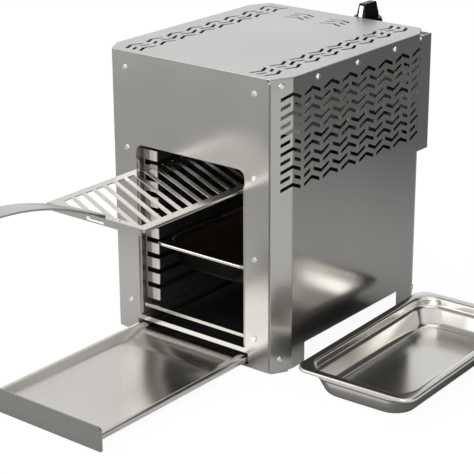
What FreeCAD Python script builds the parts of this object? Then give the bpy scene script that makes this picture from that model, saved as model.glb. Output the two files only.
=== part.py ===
"""Top-heat gas infrared grill: a folded steel housing with a ceramic burner in its top, comb-like rack
guides, a slotted grate with a lift-off handle, two gastronorm pans and a drip drawer.

Millimetres. X runs to the right, Y to the rear and Z up. The origin is on the floor, at the middle of the
front panel's outer face. The drawer and the grate stand pulled out, as they are shown.
"""
import FreeCAD, Part
import math
import operator
import os
import types

import Sketcher

Vector = FreeCAD.Vector
doc = FreeCAD.newDocument("InfraredGrill")

SIZES = {
    # housing: an eight-sided folded mantle, open at the front and the top
    "housing_top": 408.0,
    "housing_width": 302.0,
    "side_front": 29.2,
    "side_length": 295.0,
    "chamfer_run": 16.2,
    "sheet": 1.0,
    "bend_radius": 4.0,
    "mantle_bottom": 3.0,
    "side_recess_front": 59.0,
    "side_recess_rear": 286.0,
    "side_recess_top": 32.0,
    "front_return": 19.0,
    # front panel
    "panel_width": 268.0,
    "panel_bottom": 1.5,
    "panel_sheet": 2.0,
    "panel_corner": 6.0,
    "opening_width": 189.6,
    "opening_bottom": 28.2,
    "opening_top": 281.0,
    "opening_top_corner": 12.0,
    "opening_low_corner": 4.0,
    "tray_slot_width": 199.0,
    "tray_slot_bottom": 5.5,
    "tray_slot_top": 21.4,
    "panel_screw_spread": 221.4,
    "panel_screw_low": 47.0,
    "panel_screw_pitch": 113.33,
    # vents: rows of chevron slots
    "vent_peaks": 8,
    "vent_top": 387.4,
    "vent_pitch": 24.3,
    "vent_arm": 17.3,
    "vent_slope": 0.42,
    "vent_height": 4.9,
    # lid
    "lid_sheet": 1.5,
    "lid_front_edge": 0.5,
    "lid_flange": 16.0,
    "lid_row_first": 101.0,
    "lid_row_pitch": 12.0,
    "lid_rear_row": 300.0,
    "lid_rear_left": -44.0,
    "lid_rear_right": 20.0,
    "lid_screw_height": 399.0,
    "lid_screw_front": 82.7,
    "lid_screw_pitch": 89.9,
    # feet
    "foot_height": 24.0,
    "foot_depth": 14.0,
    "foot_screw_height": 20.0,
    # chamber
    "chamber_width": 202.0,
    "chamber_bottom": 5.0,
    "chamber_top": 285.0,
    "chamber_rear": 347.4,
    "chamber_flange_edge": 98.0,
    "chamber_flange_outer": 115.5,
    "chamber_flange_top": 400.0,
    "chamber_lip_edge": 90.7,
    "chamber_lip_bottom": 30.0,
    "chamber_lip_top": 262.0,
    "chamber_lip_corner": 8.0,
    "spacer_radius": 5.0,
    "spacer_spread": 140.0,
    "spacer_low": 60.0,
    "spacer_rise": 180.0,
    # rack guides: folded boxes with nine slots
    "guide_inner": 77.0,
    "guide_front": 22.0,
    "guide_rear": 334.0,
    "guide_bottom": 46.0,
    "guide_top": 268.0,
    "guide_slot_top": 249.5,
    "guide_slot_pitch": 22.8,
    "guide_slot_height": 7.65,
    "guide_slots": 9,
    "guide_fold": 0.5,
    # runners of the drip tray and the front cross bar
    "runner_inner": 93.0,
    "runner_top": 8.7,
    "runner_height": 14.0,
    "runner_front": 6.0,
    "bar_front": 4.0,
    "bar_bottom": 41.0,
    "bar_height": 5.0,
    "bar_depth": 10.0,
    # burner
    "burner_width": 200.0,
    "burner_front": 115.0,
    "burner_length": 200.0,
    "burner_bottom": 301.0,
    "burner_top": 345.0,
    "frame_lip": 3.0,
    "frame_margin": 9.0,
    "tile_depth": 12.0,
    "tile_gap": 2.0,
    "tile_count": 2,
    "gasket": 3.0,
    "baffle_drop": 14.0,
    "baffle_gap": 30.0,
    "burner_bar_front": 135.0,
    "burner_bar_rear": 283.0,
    "burner_bar_width": 14.0,
    "burner_bar_height": 12.0,
    "shield_width": 190.0,
    "shield_front": 120.0,
    "shield_length": 190.0,
    "shield_lip": 8.0,
    # gas train
    "mixer_across": -34.0,
    "mixer_height": 325.0,
    "mixer_radius": 11.0,
    "mixer_wall": 1.0,
    "mixer_throat": 7.0,
    "mixer_mouth": 356.0,
    "jet_length": 8.5,
    "jet_radius": 3.0,
    "jet_bore": 0.6,
    "jet_gap": 3.0,
    "jet_block": 13.0,
    "pipe_radius": 3.0,
    "pipe_bend": 9.0,
    "nut_across": 10.0,
    "nut_length": 7.0,
    "knob_across": 27.0,
    "knob_gap": 1.1,
    "valve_radius": 12.5,
    "valve_bottom": 336.0,
    "valve_body_top": 380.0,
    "valve_collar_radius": 9.5,
    "valve_neck_radius": 7.5,
    "valve_neck_top": 397.0,
    "valve_bore_bottom": 341.0,
    "valve_fit": 0.05,
    "spindle_radius": 4.0,
    "spindle_bottom": 352.0,
    "spindle_top": 417.0,
    "push_pin_radius": 3.95,
    "push_pin_bottom": 345.4,
    "push_pin_gap": 0.3,
    "valve_nut_across": 20.0,
    "valve_nut_height": 3.6,
    "bezel_radius": 13.0,
    "bezel_height": 1.2,
    "inlet_radius": 6.58,
    "inlet_bore": 2.5,
    "inlet_thread": 10.0,
    "inlet_flange": 10.0,
    "inlet_inside": 12.0,
    # flame guard and ignition
    "probe_across": 45.0,
    "probe_radius": 1.6,
    "probe_collar": 3.0,
    "probe_reach": 16.0,
    "lead_radius": 1.2,
    "spark_across": -76.0,
    "spark_rod": 1.0,
    "spark_insulator": 3.4,
    "bracket_height": 309.0,
    "bracket_depth": 9.0,
    "module_width": 28.0,
    "module_depth": 20.0,
    "module_height": 14.0,
    # rear box
    "rear_box_width": 256.0,
    "valve_room": 2.0,
    "rear_box_bottom": 222.0,
    "rear_box_top": 392.0,
    "rear_box_hem": 2.0,
    "rear_box_flange": 12.0,
    # knob
    "knob_skirt": 397.6,
    "knob_skirt_radius": 22.0,
    "knob_skirt_height": 9.4,
    "knob_cavity_radius": 18.5,
    "knob_cavity_height": 6.4,
    "knob_top": 428.0,
    "knob_grip_width": 15.0,
    "knob_grip_length": 38.0,
    "knob_inlay_width": 3.0,
    "knob_inlay_depth": 0.8,
    # drip drawer
    "tray_rim_half": 97.5,
    "tray_body_half": 90.5,
    "tray_floor_half": 82.0,
    "tray_front": -299.0,
    "tray_rear": 4.0,
    "tray_rim_top": 16.0,
    "tray_sheet": 0.8,
    "tray_skirt_bottom": 9.1,
    "tray_floor_bottom": 6.2,
    "tray_rear_drop": 3.0,
    "tray_rear_slope": 38.0,
    "tray_corner": 12.0,
    "tray_notch": 6.0,
    "drawer_half": 110.0,
    "drawer_plate": 2.0,
    "drawer_bottom": 1.0,
    "drawer_top": 34.5,
    "drawer_top_corner": 6.0,
    "drawer_low_corner": 3.0,
    # slotted grate
    "grate_half": 85.0,
    "grate_front": -184.0,
    "grate_length": 320.0,
    "grate_top": 250.4,
    "grate_sheet": 1.2,
    "grate_rim": 5.5,
    "grate_rim_bottom": 246.0,
    "grate_slot_half": 70.2,
    "grate_slot_drop": 70.5,
    "grate_slot_pitch": 20.1,
    "grate_slot_length": 13.2,
    "grate_slot_start": -153.2,
    "grate_slots": 18,
    "grate_front_margin": 9.5,
    "grate_rear_margin": 9.0,
    "grate_lip": 10.0,
    "grate_lip_half": 76.0,
    "grate_window": 30.0,
    "grate_window_height": 5.0,
    "grate_tongue_slot": 28.0,
    "grate_tongue_front": -181.2,
    "grate_tongue_gap": 3.4,
    "socket_half": 46.0,
    "socket_sheet": 1.2,
    "socket_stud": 36.0,
    # lifting handle
    "handle_width": 32.0,
    "handle_sheet": 2.5,
    "handle_rest": 250.8,
    "handle_tongue_width": 24.0,
    "handle_tongue_drop": 8.0,
    "handle_lean": 22.5,
    "handle_leg": 55.0,
    "handle_radius": 380.0,
    "handle_end_radius": 14.0,
    # gastronorm pans, one third size, 40 deep
    "pan_length": 325.0,
    "pan_width": 176.0,
    "pan_depth": 40.0,
    "pan_corner": 20.0,
    "pan_rim_roll": 4.6,
    "pan_rim_width": 11.8,
    "pan_step": 3.2,
    "pan_band": 12.0,
    "pan_taper": 5.0,
    "pan_floor_corner": 30.0,
    "pan_sheet": 0.8,
    "inside_pan_front": 19.0,
    "inside_pan_level": 5,
    "loose_pan_across": 278.0,
    "loose_pan_front": -24.0,
    "loose_pan_turn": 1.9,
    # fasteners
    "screw_head_radius": 4.2,
    "screw_head_height": 2.2,
    "screw_radius": 2.0,
    "screw_reach": 9.0,
    "rivet_nut_radius": 4.5,
    "rivet_nut_length": 7.0,
    "rivet_radius": 2.6,
    "rivet_height": 1.1,
    # clearances
    "running_gap": 0.3,
    "rest_gap": 0.4,
}

sheet_object = doc.addObject("Spreadsheet::Sheet", "Sizes")
for row, (alias, value) in enumerate(SIZES.items(), 1):
    sheet_object.set("A%d" % row, str(value))
    sheet_object.setAlias("A%d" % row, alias)
doc.recompute()

SIGNS = {"+": operator.add, "-": operator.sub, "*": operator.mul, "/": operator.truediv}


class Size:
    """A size known both as a number and as the formula that ties it to the sheet."""

    def __init__(self, number, formula):
        self.number = number
        self.formula = formula

    def _joined(self, sign, other, swapped=False):
        other = as_size(other)
        first, second = (other, self) if swapped else (self, other)
        number = SIGNS[sign](first.number, second.number)
        return Size(number, "(%s %s %s)" % (first.formula, sign, second.formula))

    def __add__(self, other):
        return self._joined("+", other)

    def __radd__(self, other):
        return self._joined("+", other, True)

    def __sub__(self, other):
        return self._joined("-", other)

    def __rsub__(self, other):
        return self._joined("-", other, True)

    def __mul__(self, other):
        return self._joined("*", other)

    def __rmul__(self, other):
        return self._joined("*", other, True)

    def __truediv__(self, other):
        return self._joined("/", other)

    def __rtruediv__(self, other):
        return self._joined("/", other, True)

    def __neg__(self):
        return self * -1


def as_size(value):
    """The value itself, or a plain number as a size."""
    return value if isinstance(value, Size) else Size(float(value), repr(float(value)))


def half_turn(run, rise):
    """The tangent of half the angle whose tangent is run over rise."""
    number = math.tan(math.atan2(run.number, rise.number) / 2)
    return Size(number, "tan(atan(%s / %s) / 2)" % (run.formula, rise.formula))


def length_of(run, rise):
    """The slanted length over a run and a rise."""
    number = math.hypot(run.number, rise.number)
    return Size(number, "sqrt(%s * %s + %s * %s)" % (run.formula, run.formula, rise.formula, rise.formula))


z = types.SimpleNamespace()
for alias in SIZES:
    setattr(z, alias, Size(float(sheet_object.get(alias)), "Sizes." + alias))

PARTS = []
CUTS = []


def tie(thing, name, value):
    """Sets a length of an object from a size, by formula where it has one."""
    thing.setExpression(name, as_size(value).formula)


def body(label):
    new = doc.addObject("PartDesign::Body", label)
    new.Label = label
    new.AllowCompound = True
    PARTS.append(new)
    return new


def origin_of(part, role):
    return next(item for item in part.Origin.OriginFeatures if item.Role == role)


def backwards(sketch):
    """True where the sketch's plane faces down its axis: the XZ plane faces -Y."""
    return sketch.AttachmentSupport[0][0].Role == "XZ_Plane"


def pinned(geometry, point, x, y):
    """The two distances from the sketch's origin that hold a point, each with its formula."""
    x, y = as_size(x), as_size(y)
    return [(Sketcher.Constraint("DistanceX", -1, 1, geometry, point, x.number), x.formula),
            (Sketcher.Constraint("DistanceY", -1, 1, geometry, point, y.number), y.formula)]


def joined(first, first_end, second, second_end):
    return [(Sketcher.Constraint("Coincident", first, first_end, second, second_end), None)]


def hold(sketch, rules):
    """Adds the rules to the sketch at once, and ties those that have a formula."""
    start = sketch.ConstraintCount
    sketch.addConstraint([rule for rule, formula in rules])
    for index, (rule, formula) in enumerate(rules, start):
        if formula is not None:
            sketch.setExpression("Constraints[%d]" % index, formula)


def draw_polygon(sketch, corners):
    """A closed outline of straight lines whose corners are tied to the sheet."""
    corners = [(as_size(x), as_size(y)) for x, y in corners]
    count = len(corners)
    first = sketch.GeometryCount
    points = [Vector(x.number, y.number, 0) for x, y in corners]
    lines = [Part.LineSegment(*ends) for ends in zip(points, points[1:] + points[:1])]
    sketch.addGeometry(lines, False)
    rules = []
    for index in range(count):
        rules += joined(first + index, 2, first + (index + 1) % count, 1)
        rules += pinned(first + index, 1, *corners[index])
    hold(sketch, rules)


def draw_rectangle(sketch, left, right, low, high):
    draw_polygon(sketch, [(left, low), (right, low), (right, high), (left, high)])


def draw_rounded(sketch, left, right, low, high, radius, low_radius=None):
    """A rectangle with round corners, which may be smaller at its lower edge."""
    left, right, low, high, radius = map(as_size, (left, right, low, high, radius))
    foot = as_size(low_radius) if low_radius is not None else radius
    runs = [((left + foot, low), (right - foot, low)), ((right, low + foot), (right, high - radius)),
            ((right - radius, high), (left + radius, high)), ((left, high - radius), (left, low + foot))]
    first = sketch.GeometryCount
    for start, end in runs:
        points = [Vector(x.number, y.number, 0) for x, y in (start, end)]
        sketch.addGeometry(Part.LineSegment(*points), False)
    rules = []
    for index, (start, end) in enumerate(runs):
        rules += pinned(first + index, 1, *start) + pinned(first + index, 2, *end)
    centres = [(right - foot, low + foot, foot, -90), (right - radius, high - radius, radius, 0),
               (left + radius, high - radius, radius, 90), (left + foot, low + foot, foot, 180)]
    for index, (x, y, bend, start) in enumerate(centres):
        circle = Part.Circle(Vector(x.number, y.number, 0), Vector(0, 0, 1), bend.number)
        arc = Part.ArcOfCircle(circle, math.radians(start), math.radians(start + 90))
        made = sketch.addGeometry(arc, False)
        rules += joined(made, 1, first + index, 2) + joined(made, 2, first + (index + 1) % 4, 1)
        rules += pinned(made, 3, x, y)[:1]
    hold(sketch, rules)


def draw_circle(sketch, x, y, radius):
    x, y, radius = map(as_size, (x, y, radius))
    circle = Part.Circle(Vector(x.number, y.number, 0), Vector(0, 0, 1), radius.number)
    made = sketch.addGeometry(circle, False)
    rule = Sketcher.Constraint("Radius", made, radius.number)
    hold(sketch, pinned(made, 3, x, y) + [(rule, radius.formula)])


def sketch_on(part, role, offset=0):
    """An empty sketch parallel to one of the part's own planes, so far along its axis."""
    new = part.newObject("Sketcher::SketchObject", part.Label + "_outline")
    new.AttachmentSupport = [(origin_of(part, role), "")]
    new.MapMode = "FlatFace"
    tie(new, ".AttachmentOffset.Base.z", -as_size(offset) if role == "XZ_Plane" else offset)
    return new


def pad(part, sketch, depth, onward=True):
    """Thickens a sketch along its axis, or against it."""
    new = part.newObject("PartDesign::Pad", part.Label + "_pad")
    new.Profile = sketch
    new.Reversed = onward == backwards(sketch)
    tie(new, "Length", depth)
    sketch.Visibility = False
    return new


def cut(part, sketch, depth, onward=True):
    """Cuts a sketch out of the part along its axis, or against it."""
    new = part.newObject("PartDesign::Pocket", part.Label + "_cut")
    new.Profile = sketch
    new.Reversed = onward != backwards(sketch)
    tie(new, "Length", depth)
    sketch.Visibility = False
    CUTS.append(new)
    return new


def plate(part, role, offset, depth, *rectangles, onward=True):
    """Pads one or more rectangles, each given as left, right, low and high."""
    sketch = sketch_on(part, role, offset)
    for rectangle in rectangles:
        draw_rectangle(sketch, *rectangle)
    return pad(part, sketch, depth, onward)


def rod(part, role, offset, depth, x, y, radius, bore=None):
    """Pads a disc, or a ring where it has a bore."""
    sketch = sketch_on(part, role, offset)
    draw_circle(sketch, x, y, radius)
    if bore is not None:
        draw_circle(sketch, x, y, bore)
    return pad(part, sketch, depth)


def holes(part, role, offset, depth, radius, places):
    sketch = sketch_on(part, role, offset)
    for x, y in places:
        draw_circle(sketch, x, y, radius)
    return cut(part, sketch, depth)


def repeat(part, feature, role, pitch, count, against=False):
    """Repeats a feature at an even pitch along one of the part's axes."""
    pattern = part.newObject("PartDesign::LinearPattern", part.Label + "_row")
    pattern.Originals = [feature]
    pattern.Direction = (origin_of(part, role), [""])
    pattern.Reversed = against
    pattern.setExpression("Occurrences", as_size(count).formula)
    tie(pattern, "Length", as_size(pitch) * (as_size(count) - 1))
    part.Tip = pattern
    CUTS.append(pattern)
    return pattern


def soften(part, radius, chosen):
    """Rounds the edges of the part's last feature that the given test picks."""
    doc.recompute()
    base = part.Tip
    names = ["Edge%d" % index for index, edge in enumerate(base.Shape.Edges, 1) if chosen(edge)]
    new = part.newObject("PartDesign::Fillet", part.Label + "_round")
    new.Base = (base, names)
    tie(new, "Radius", radius)
    return new


def along(edge, axis):
    """True for a straight edge that runs along the axis."""
    if not isinstance(edge.Curve, Part.Line):
        return False
    return abs(abs(edge.Curve.Direction.dot(axis)) - 1) < 1e-6


HALF = z.housing_width / 2
SIDE_REAR = z.side_front + z.side_length
HOUSING_REAR = SIDE_REAR + z.side_front
CHAMFER_EDGE = HALF - z.chamfer_run
SIDE_TUCK = z.sheet * half_turn(z.chamfer_run, z.side_front)
END_TUCK = z.sheet * half_turn(z.side_front, z.chamfer_run)
VENT_PERIOD = z.side_length / (z.vent_peaks - 1)
PANEL_BACK = z.panel_sheet
FLANGE_BACK = PANEL_BACK + z.sheet
# the chamfer's plane meets the back of the panel a little outside its front edge
RETURN_BEND = CHAMFER_EDGE + z.chamfer_run * PANEL_BACK / z.side_front
PANEL_SCREWS = [(side * z.panel_screw_spread / 2, z.panel_screw_low + z.panel_screw_pitch * row)
                for side in (1, -1) for row in range(4)]


def chevron(peak, height, left, right, near=0, slope_sign=1, squeeze_left=1, squeeze_right=1):
    """A bent slot about a peak, from near to the two arm lengths; an arm of length 0 is left off.

    An arm on a slanted wall is squeezed along the row, and keeps its rise.
    """
    fall = z.vent_slope * slope_sign
    above = z.vent_height / 2
    points = []
    for reach, squeeze, side in ((left, squeeze_left, -1), (right, squeeze_right, 1)):
        if reach == 0:
            points.append([(peak + side * near * squeeze, height - fall * near)])
        else:
            points.append([(peak + side * reach * squeeze, height - fall * reach)])
    if near == 0:
        spine = [points[0][0], (peak, height), points[1][0]]
    elif left == 0:
        spine = [(peak + near * squeeze_right, height - fall * near), points[1][0]]
    else:
        spine = [points[0][0], (peak - near * squeeze_left, height - fall * near)]
    upper = [(as_size(x), as_size(y) + above) for x, y in spine]
    lower = [(as_size(x), as_size(y) - above) for x, y in reversed(spine)]
    return upper + lower


def peak_row(start, height, ends=1):
    """Slots bent about every peak, with a web at every valley."""
    last = int(z.vent_peaks.number) - 1
    slots = []
    for index in range(last + 1):
        slots.append(chevron(start + VENT_PERIOD * index, height, z.vent_arm, z.vent_arm,
                             squeeze_left=ends if index == 0 else 1,
                             squeeze_right=ends if index == last else 1))
    return slots


def valley_row(start, height, ends=1):
    """Slots bent about the middle valleys, and single arms beside the outer ones."""
    last = int(z.vent_peaks.number) - 1
    web = VENT_PERIOD / 2 - z.vent_arm
    slots = [chevron(start, height, z.vent_arm, 0, web, squeeze_left=ends),
             chevron(start, height, 0, z.vent_arm, web)]
    slots.append(chevron(start + VENT_PERIOD, height, z.vent_arm, 0, web))
    floor = height - z.vent_slope * VENT_PERIOD / 2
    for index in range(1, last - 1):
        valley = start + VENT_PERIOD * index + VENT_PERIOD / 2
        slots.append(chevron(valley, floor, z.vent_arm, z.vent_arm, slope_sign=-1))
    slots.append(chevron(start + VENT_PERIOD * (last - 1), height, 0, z.vent_arm, web))
    end = start + VENT_PERIOD * last
    slots.append(chevron(end, height, z.vent_arm, 0, web))
    slots.append(chevron(end, height, 0, z.vent_arm, web, squeeze_right=ends))
    return slots


def octagon(tuck, front, rear):
    """Half of the housing's plan, from the front to the rear, set inwards by the sheet where tucked."""
    side = SIDE_TUCK * tuck
    return [(CHAMFER_EDGE + front[0], front[1]), (HALF - z.sheet * tuck, z.side_front + side),
            (HALF - z.sheet * tuck, SIDE_REAR - side), (CHAMFER_EDGE + rear[0], rear[1])]


def mirrored(half):
    """The half outline and its mirror image, as one closed outline."""
    return half + [(-as_size(x), y) for x, y in reversed(half)]


def make_mantle():
    """One folded sheet: rear wall, two side walls, four chamfers and two returns behind the panel."""
    part = body("mantle")
    sketch = sketch_on(part, "XY_Plane", z.mantle_bottom)
    bend = RETURN_BEND - CHAMFER_EDGE
    edge = RETURN_BEND - z.front_return
    outer = [(edge, PANEL_BACK)] + octagon(0, (bend, PANEL_BACK), (0, HOUSING_REAR))
    inner = octagon(1, (bend - END_TUCK, FLANGE_BACK), (-END_TUCK, HOUSING_REAR - z.sheet))
    inner = [(edge, FLANGE_BACK)] + inner
    left_outer = [(-as_size(x), y) for x, y in reversed(outer)]
    left_inner = [(-as_size(x), y) for x, y in inner]
    draw_polygon(sketch, outer + left_outer + left_inner + list(reversed(inner)))
    pad(part, sketch, z.housing_top - z.mantle_bottom)

    def side_bend(edge):
        middle = edge.CenterOfMass
        outside = abs(abs(middle.x) - HALF.number) < z.sheet.number / 2
        return along(edge, Vector(0, 0, 1)) and outside

    def inside_bend(edge):
        middle = edge.CenterOfMass
        tucked = abs(abs(middle.x) - HALF.number + z.sheet.number) < z.sheet.number / 2
        return along(edge, Vector(0, 0, 1)) and tucked

    soften(part, z.bend_radius, side_bend)
    soften(part, z.bend_radius - z.sheet, inside_bend)

    recess = sketch_on(part, "YZ_Plane", -HALF - 1)
    draw_rectangle(recess, z.side_recess_front, z.side_recess_rear, 0, z.side_recess_top)
    cut(part, recess, z.housing_width + 2)

    squeeze = z.side_front / length_of(z.side_front, z.chamfer_run)
    for row, drop, count in ((peak_row, 0, 6), (valley_row, z.vent_pitch / 2, 5)):
        vents = sketch_on(part, "YZ_Plane", -HALF - 1)
        for slot in row(z.side_front, z.vent_top - drop, squeeze):
            draw_polygon(vents, slot)
        first = cut(part, vents, z.housing_width + 2)
        repeat(part, first, "Z_Axis", z.vent_pitch, count, against=True)

    holes(part, "XZ_Plane", HOUSING_REAR - z.sheet - 1, z.sheet + 2, z.mixer_radius,
          [(z.mixer_across, z.mixer_height)])
    holes(part, "XZ_Plane", HOUSING_REAR - z.sheet - 1, z.sheet + 2, z.probe_collar,
          [(z.probe_across, LEAD_HEIGHT), (z.spark_across, SPARK_TOP)])
    return part


def make_front_panel():
    """A thick plate with the cooking opening and the drawer's slot."""
    part = body("front_panel")
    half = z.panel_width / 2
    sketch = sketch_on(part, "XZ_Plane")
    draw_rounded(sketch, -half, half, z.panel_bottom, z.housing_top, z.panel_corner)
    draw_rounded(sketch, -z.opening_width / 2, z.opening_width / 2, z.opening_bottom, z.opening_top,
                 z.opening_top_corner, z.opening_low_corner)
    draw_rectangle(sketch, -z.tray_slot_width / 2, z.tray_slot_width / 2, z.tray_slot_bottom,
                   z.tray_slot_top)
    for x, height in PANEL_SCREWS:
        draw_circle(sketch, x, height, z.screw_radius)
    pad(part, sketch, z.panel_sheet)
    return part


def make_lid():
    """A flat cover with a turned-down flange inside each side of the mantle."""
    part = body("lid")
    slope = z.chamfer_run / z.side_front
    outline = octagon(0, (slope * z.lid_front_edge, z.lid_front_edge), (0, HOUSING_REAR))
    sketch = sketch_on(part, "XY_Plane", z.housing_top)
    draw_polygon(sketch, mirrored(outline))
    pad(part, sketch, z.lid_sheet)
    inner = HALF - z.sheet
    front, rear = z.side_front + z.bend_radius, SIDE_REAR - z.bend_radius
    back = HOUSING_REAR - z.sheet
    plate(part, "XY_Plane", z.housing_top, z.lid_flange, (inner - z.sheet, inner, front, rear),
          (-inner, -inner + z.sheet, front, rear),
          (-CHAMFER_EDGE + z.lid_flange, CHAMFER_EDGE - z.lid_flange, back - z.sheet, back), onward=False)

    for index, row in enumerate((peak_row, valley_row, peak_row)):
        place = z.lid_row_first + z.lid_row_pitch * index
        for side in (1, -1):
            vents = sketch_on(part, "XY_Plane", z.housing_top - 1)
            for slot in row(z.side_front, place):
                draw_polygon(vents, [(side * across, y) for y, across in slot])
            cut(part, vents, z.lid_sheet + 2)
    vents = sketch_on(part, "XY_Plane", z.housing_top - 1)
    for start in (z.lid_rear_left, z.lid_rear_right):
        for index in range(3):
            height = z.lid_rear_row + z.lid_row_pitch * index
            if index == 1:
                slots = [chevron(start, height, z.vent_arm, 0, VENT_PERIOD / 2 - z.vent_arm),
                         chevron(start, height, 0, z.vent_arm, VENT_PERIOD / 2 - z.vent_arm)]
            else:
                slots = [chevron(start, height, z.vent_arm, z.vent_arm)]
            for slot in slots:
                draw_polygon(vents, slot)
    cut(part, vents, z.lid_sheet + 2)
    return part


def make_foot(label, side, rear):
    """An angle behind one chamfer: a foot strip under the sheet and a leaf behind it."""
    part = body(label)

    def place(x, y):
        return side * x, (HOUSING_REAR - y) if rear else y

    near = PANEL_BACK + z.rest_gap + z.sheet
    slope = z.chamfer_run / z.side_front
    depth = z.foot_depth

    def outer(y):
        return CHAMFER_EDGE + slope * y

    def leaf(y, thickness):
        return outer(y) - thickness * length_of(z.side_front, z.chamfer_run) / z.side_front

    far = z.side_front - z.bend_radius
    strip = sketch_on(part, "XY_Plane")
    corners = [(outer(near), near), (outer(far), far), (outer(far) - depth, far),
               (outer(near) - depth, near)]
    draw_polygon(strip, [place(x, y) for x, y in corners])
    pad(part, strip, z.mantle_bottom)
    upright = sketch_on(part, "XY_Plane", z.mantle_bottom)
    corners = [(leaf(near, z.sheet), near), (leaf(far, z.sheet), far),
               (leaf(far, z.sheet * 2.5), far), (leaf(near, z.sheet * 2.5), near)]
    draw_polygon(upright, [place(x, y) for x, y in corners])
    pad(part, upright, z.foot_height)
    return part


def make_chamber():
    """The cooking chamber: side and rear walls, and two strips behind the front panel."""
    part = body("chamber_shell")
    half = z.chamber_width / 2
    outer = half + z.sheet
    rear = z.chamber_rear + z.sheet
    walls = sketch_on(part, "XY_Plane", z.chamber_bottom)
    draw_polygon(walls, [(half, FLANGE_BACK), (outer, FLANGE_BACK), (outer, rear), (-outer, rear),
                         (-outer, FLANGE_BACK), (-half, FLANGE_BACK), (-half, z.chamber_rear),
                         (half, z.chamber_rear)])
    pad(part, walls, z.chamber_top - z.chamber_bottom)
    for side in (1, -1):
        strip = sketch_on(part, "XZ_Plane", PANEL_BACK)
        corners = [(z.chamber_flange_outer, z.chamber_bottom),
                   (z.chamber_flange_outer, z.chamber_flange_top),
                   (z.chamber_flange_edge, z.chamber_flange_top),
                   (z.chamber_flange_edge, z.chamber_lip_top), (z.chamber_lip_edge, z.chamber_lip_top),
                   (z.chamber_lip_edge, z.chamber_lip_bottom),
                   (z.chamber_flange_edge, z.chamber_lip_bottom), (z.chamber_flange_edge, z.chamber_bottom)]
        draw_polygon(strip, [(side * x, height) for x, height in corners])
        pad(part, strip, z.sheet)

    def lip_corner(edge):
        middle = edge.CenterOfMass
        level = abs(middle.z - z.chamber_lip_top.number) < 0.1
        return along(edge, Vector(0, 1, 0)) and level and abs(abs(middle.x) - z.chamber_lip_edge.number) < 0.1

    soften(part, z.chamber_lip_corner - z.sheet, lip_corner)
    holes(part, "XZ_Plane", PANEL_BACK - 1, z.sheet + 2, z.screw_radius, PANEL_SCREWS)
    return part


def make_guide(label, side):
    """A folded box along the chamber wall, cut by nine slots that take the racks' rims."""
    part = body(label)
    wall = z.chamber_width / 2
    section = sketch_on(part, "XY_Plane", z.guide_bottom)
    outer = sorted((side * z.guide_inner, side * wall), key=lambda size: size.number)
    inner = sorted((side * (z.guide_inner + z.sheet), side * (wall - z.sheet)),
                   key=lambda size: size.number)
    draw_rectangle(section, *outer, z.guide_front, z.guide_rear)
    draw_rectangle(section, *inner, z.guide_front + z.sheet, z.guide_rear - z.sheet)
    pad(part, section, z.guide_top - z.guide_bottom)
    slot = sketch_on(part, "XZ_Plane", z.guide_front - 1)
    across = sorted((side * (z.guide_inner - 1), side * (wall - z.sheet - z.guide_fold)),
                    key=lambda size: size.number)
    draw_rectangle(slot, *across, z.guide_slot_top - z.guide_slot_height / 2,
                   z.guide_slot_top + z.guide_slot_height / 2)
    first = cut(part, slot, z.guide_rear - z.guide_front + 2)
    repeat(part, first, "Z_Axis", z.guide_slot_pitch, z.guide_slots, against=True)
    return part


def make_runner(label, side):
    """An angle at the foot of the chamber wall, on which the tray's skirt slides."""
    part = body(label)
    wall = z.chamber_width / 2
    section = sketch_on(part, "XZ_Plane", z.runner_front)
    low = z.runner_top - z.sheet
    corners = [(z.runner_inner, low), (wall, low), (wall, low + z.runner_height),
               (wall - z.sheet, low + z.runner_height), (wall - z.sheet, z.runner_top),
               (z.runner_inner, z.runner_top)]
    draw_polygon(section, [(side * x, height) for x, height in corners])
    pad(part, section, z.chamber_rear - z.runner_front)
    return part


def make_cross_bar():
    """An angle across the chamber's front, above the drawer."""
    part = body("front_cross_bar")
    half = z.chamber_width / 2
    sketch = sketch_on(part, "YZ_Plane", -half)
    front, low = z.bar_front, z.bar_bottom
    draw_polygon(sketch, [(front, low), (front + z.bar_depth, low), (front + z.bar_depth, low + z.sheet),
                          (front + z.sheet, low + z.sheet), (front + z.sheet, low + z.bar_height),
                          (front, low + z.bar_height)])
    pad(part, sketch, z.chamber_width)
    return part


BURNER_HALF = z.burner_width / 2
BURNER_REAR = z.burner_front + z.burner_length
TILE_HALF = BURNER_HALF - z.sheet - z.gasket
TILE_FRONT = z.burner_front + z.sheet + z.gasket
TILE_REAR = BURNER_REAR - z.sheet - z.gasket
TILE_LENGTH = (TILE_REAR - TILE_FRONT - z.tile_gap * (z.tile_count - 1)) / z.tile_count
PROBE_DEPTH = BURNER_REAR + z.bracket_depth / 2
PROBE_LEVEL = z.burner_bottom - z.frame_lip - z.probe_collar * 2
INSULATOR_LOW = z.bracket_height - z.bracket_depth
INSULATOR_TOP = z.bracket_height + z.bracket_depth * 2
LEAD_HEIGHT = INSULATOR_TOP - z.lead_radius
SPARK_TOP = INSULATOR_TOP + z.bracket_depth * 2


def make_burner_housing():
    """The plenum: a box open at the bottom, with a hole for the mixing tube."""
    part = body("burner_housing")
    plate(part, "XY_Plane", z.burner_bottom, z.burner_top - z.burner_bottom,
          (-BURNER_HALF, BURNER_HALF, z.burner_front, BURNER_REAR))
    inside = sketch_on(part, "XY_Plane", z.burner_bottom)
    draw_rectangle(inside, -BURNER_HALF + z.sheet, BURNER_HALF - z.sheet, z.burner_front + z.sheet,
                   BURNER_REAR - z.sheet)
    cut(part, inside, z.burner_top - z.burner_bottom - z.sheet)
    holes(part, "XZ_Plane", BURNER_REAR - z.sheet - 1, z.sheet + 2, z.mixer_radius,
          [(z.mixer_across, z.mixer_height)])
    return part


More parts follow.
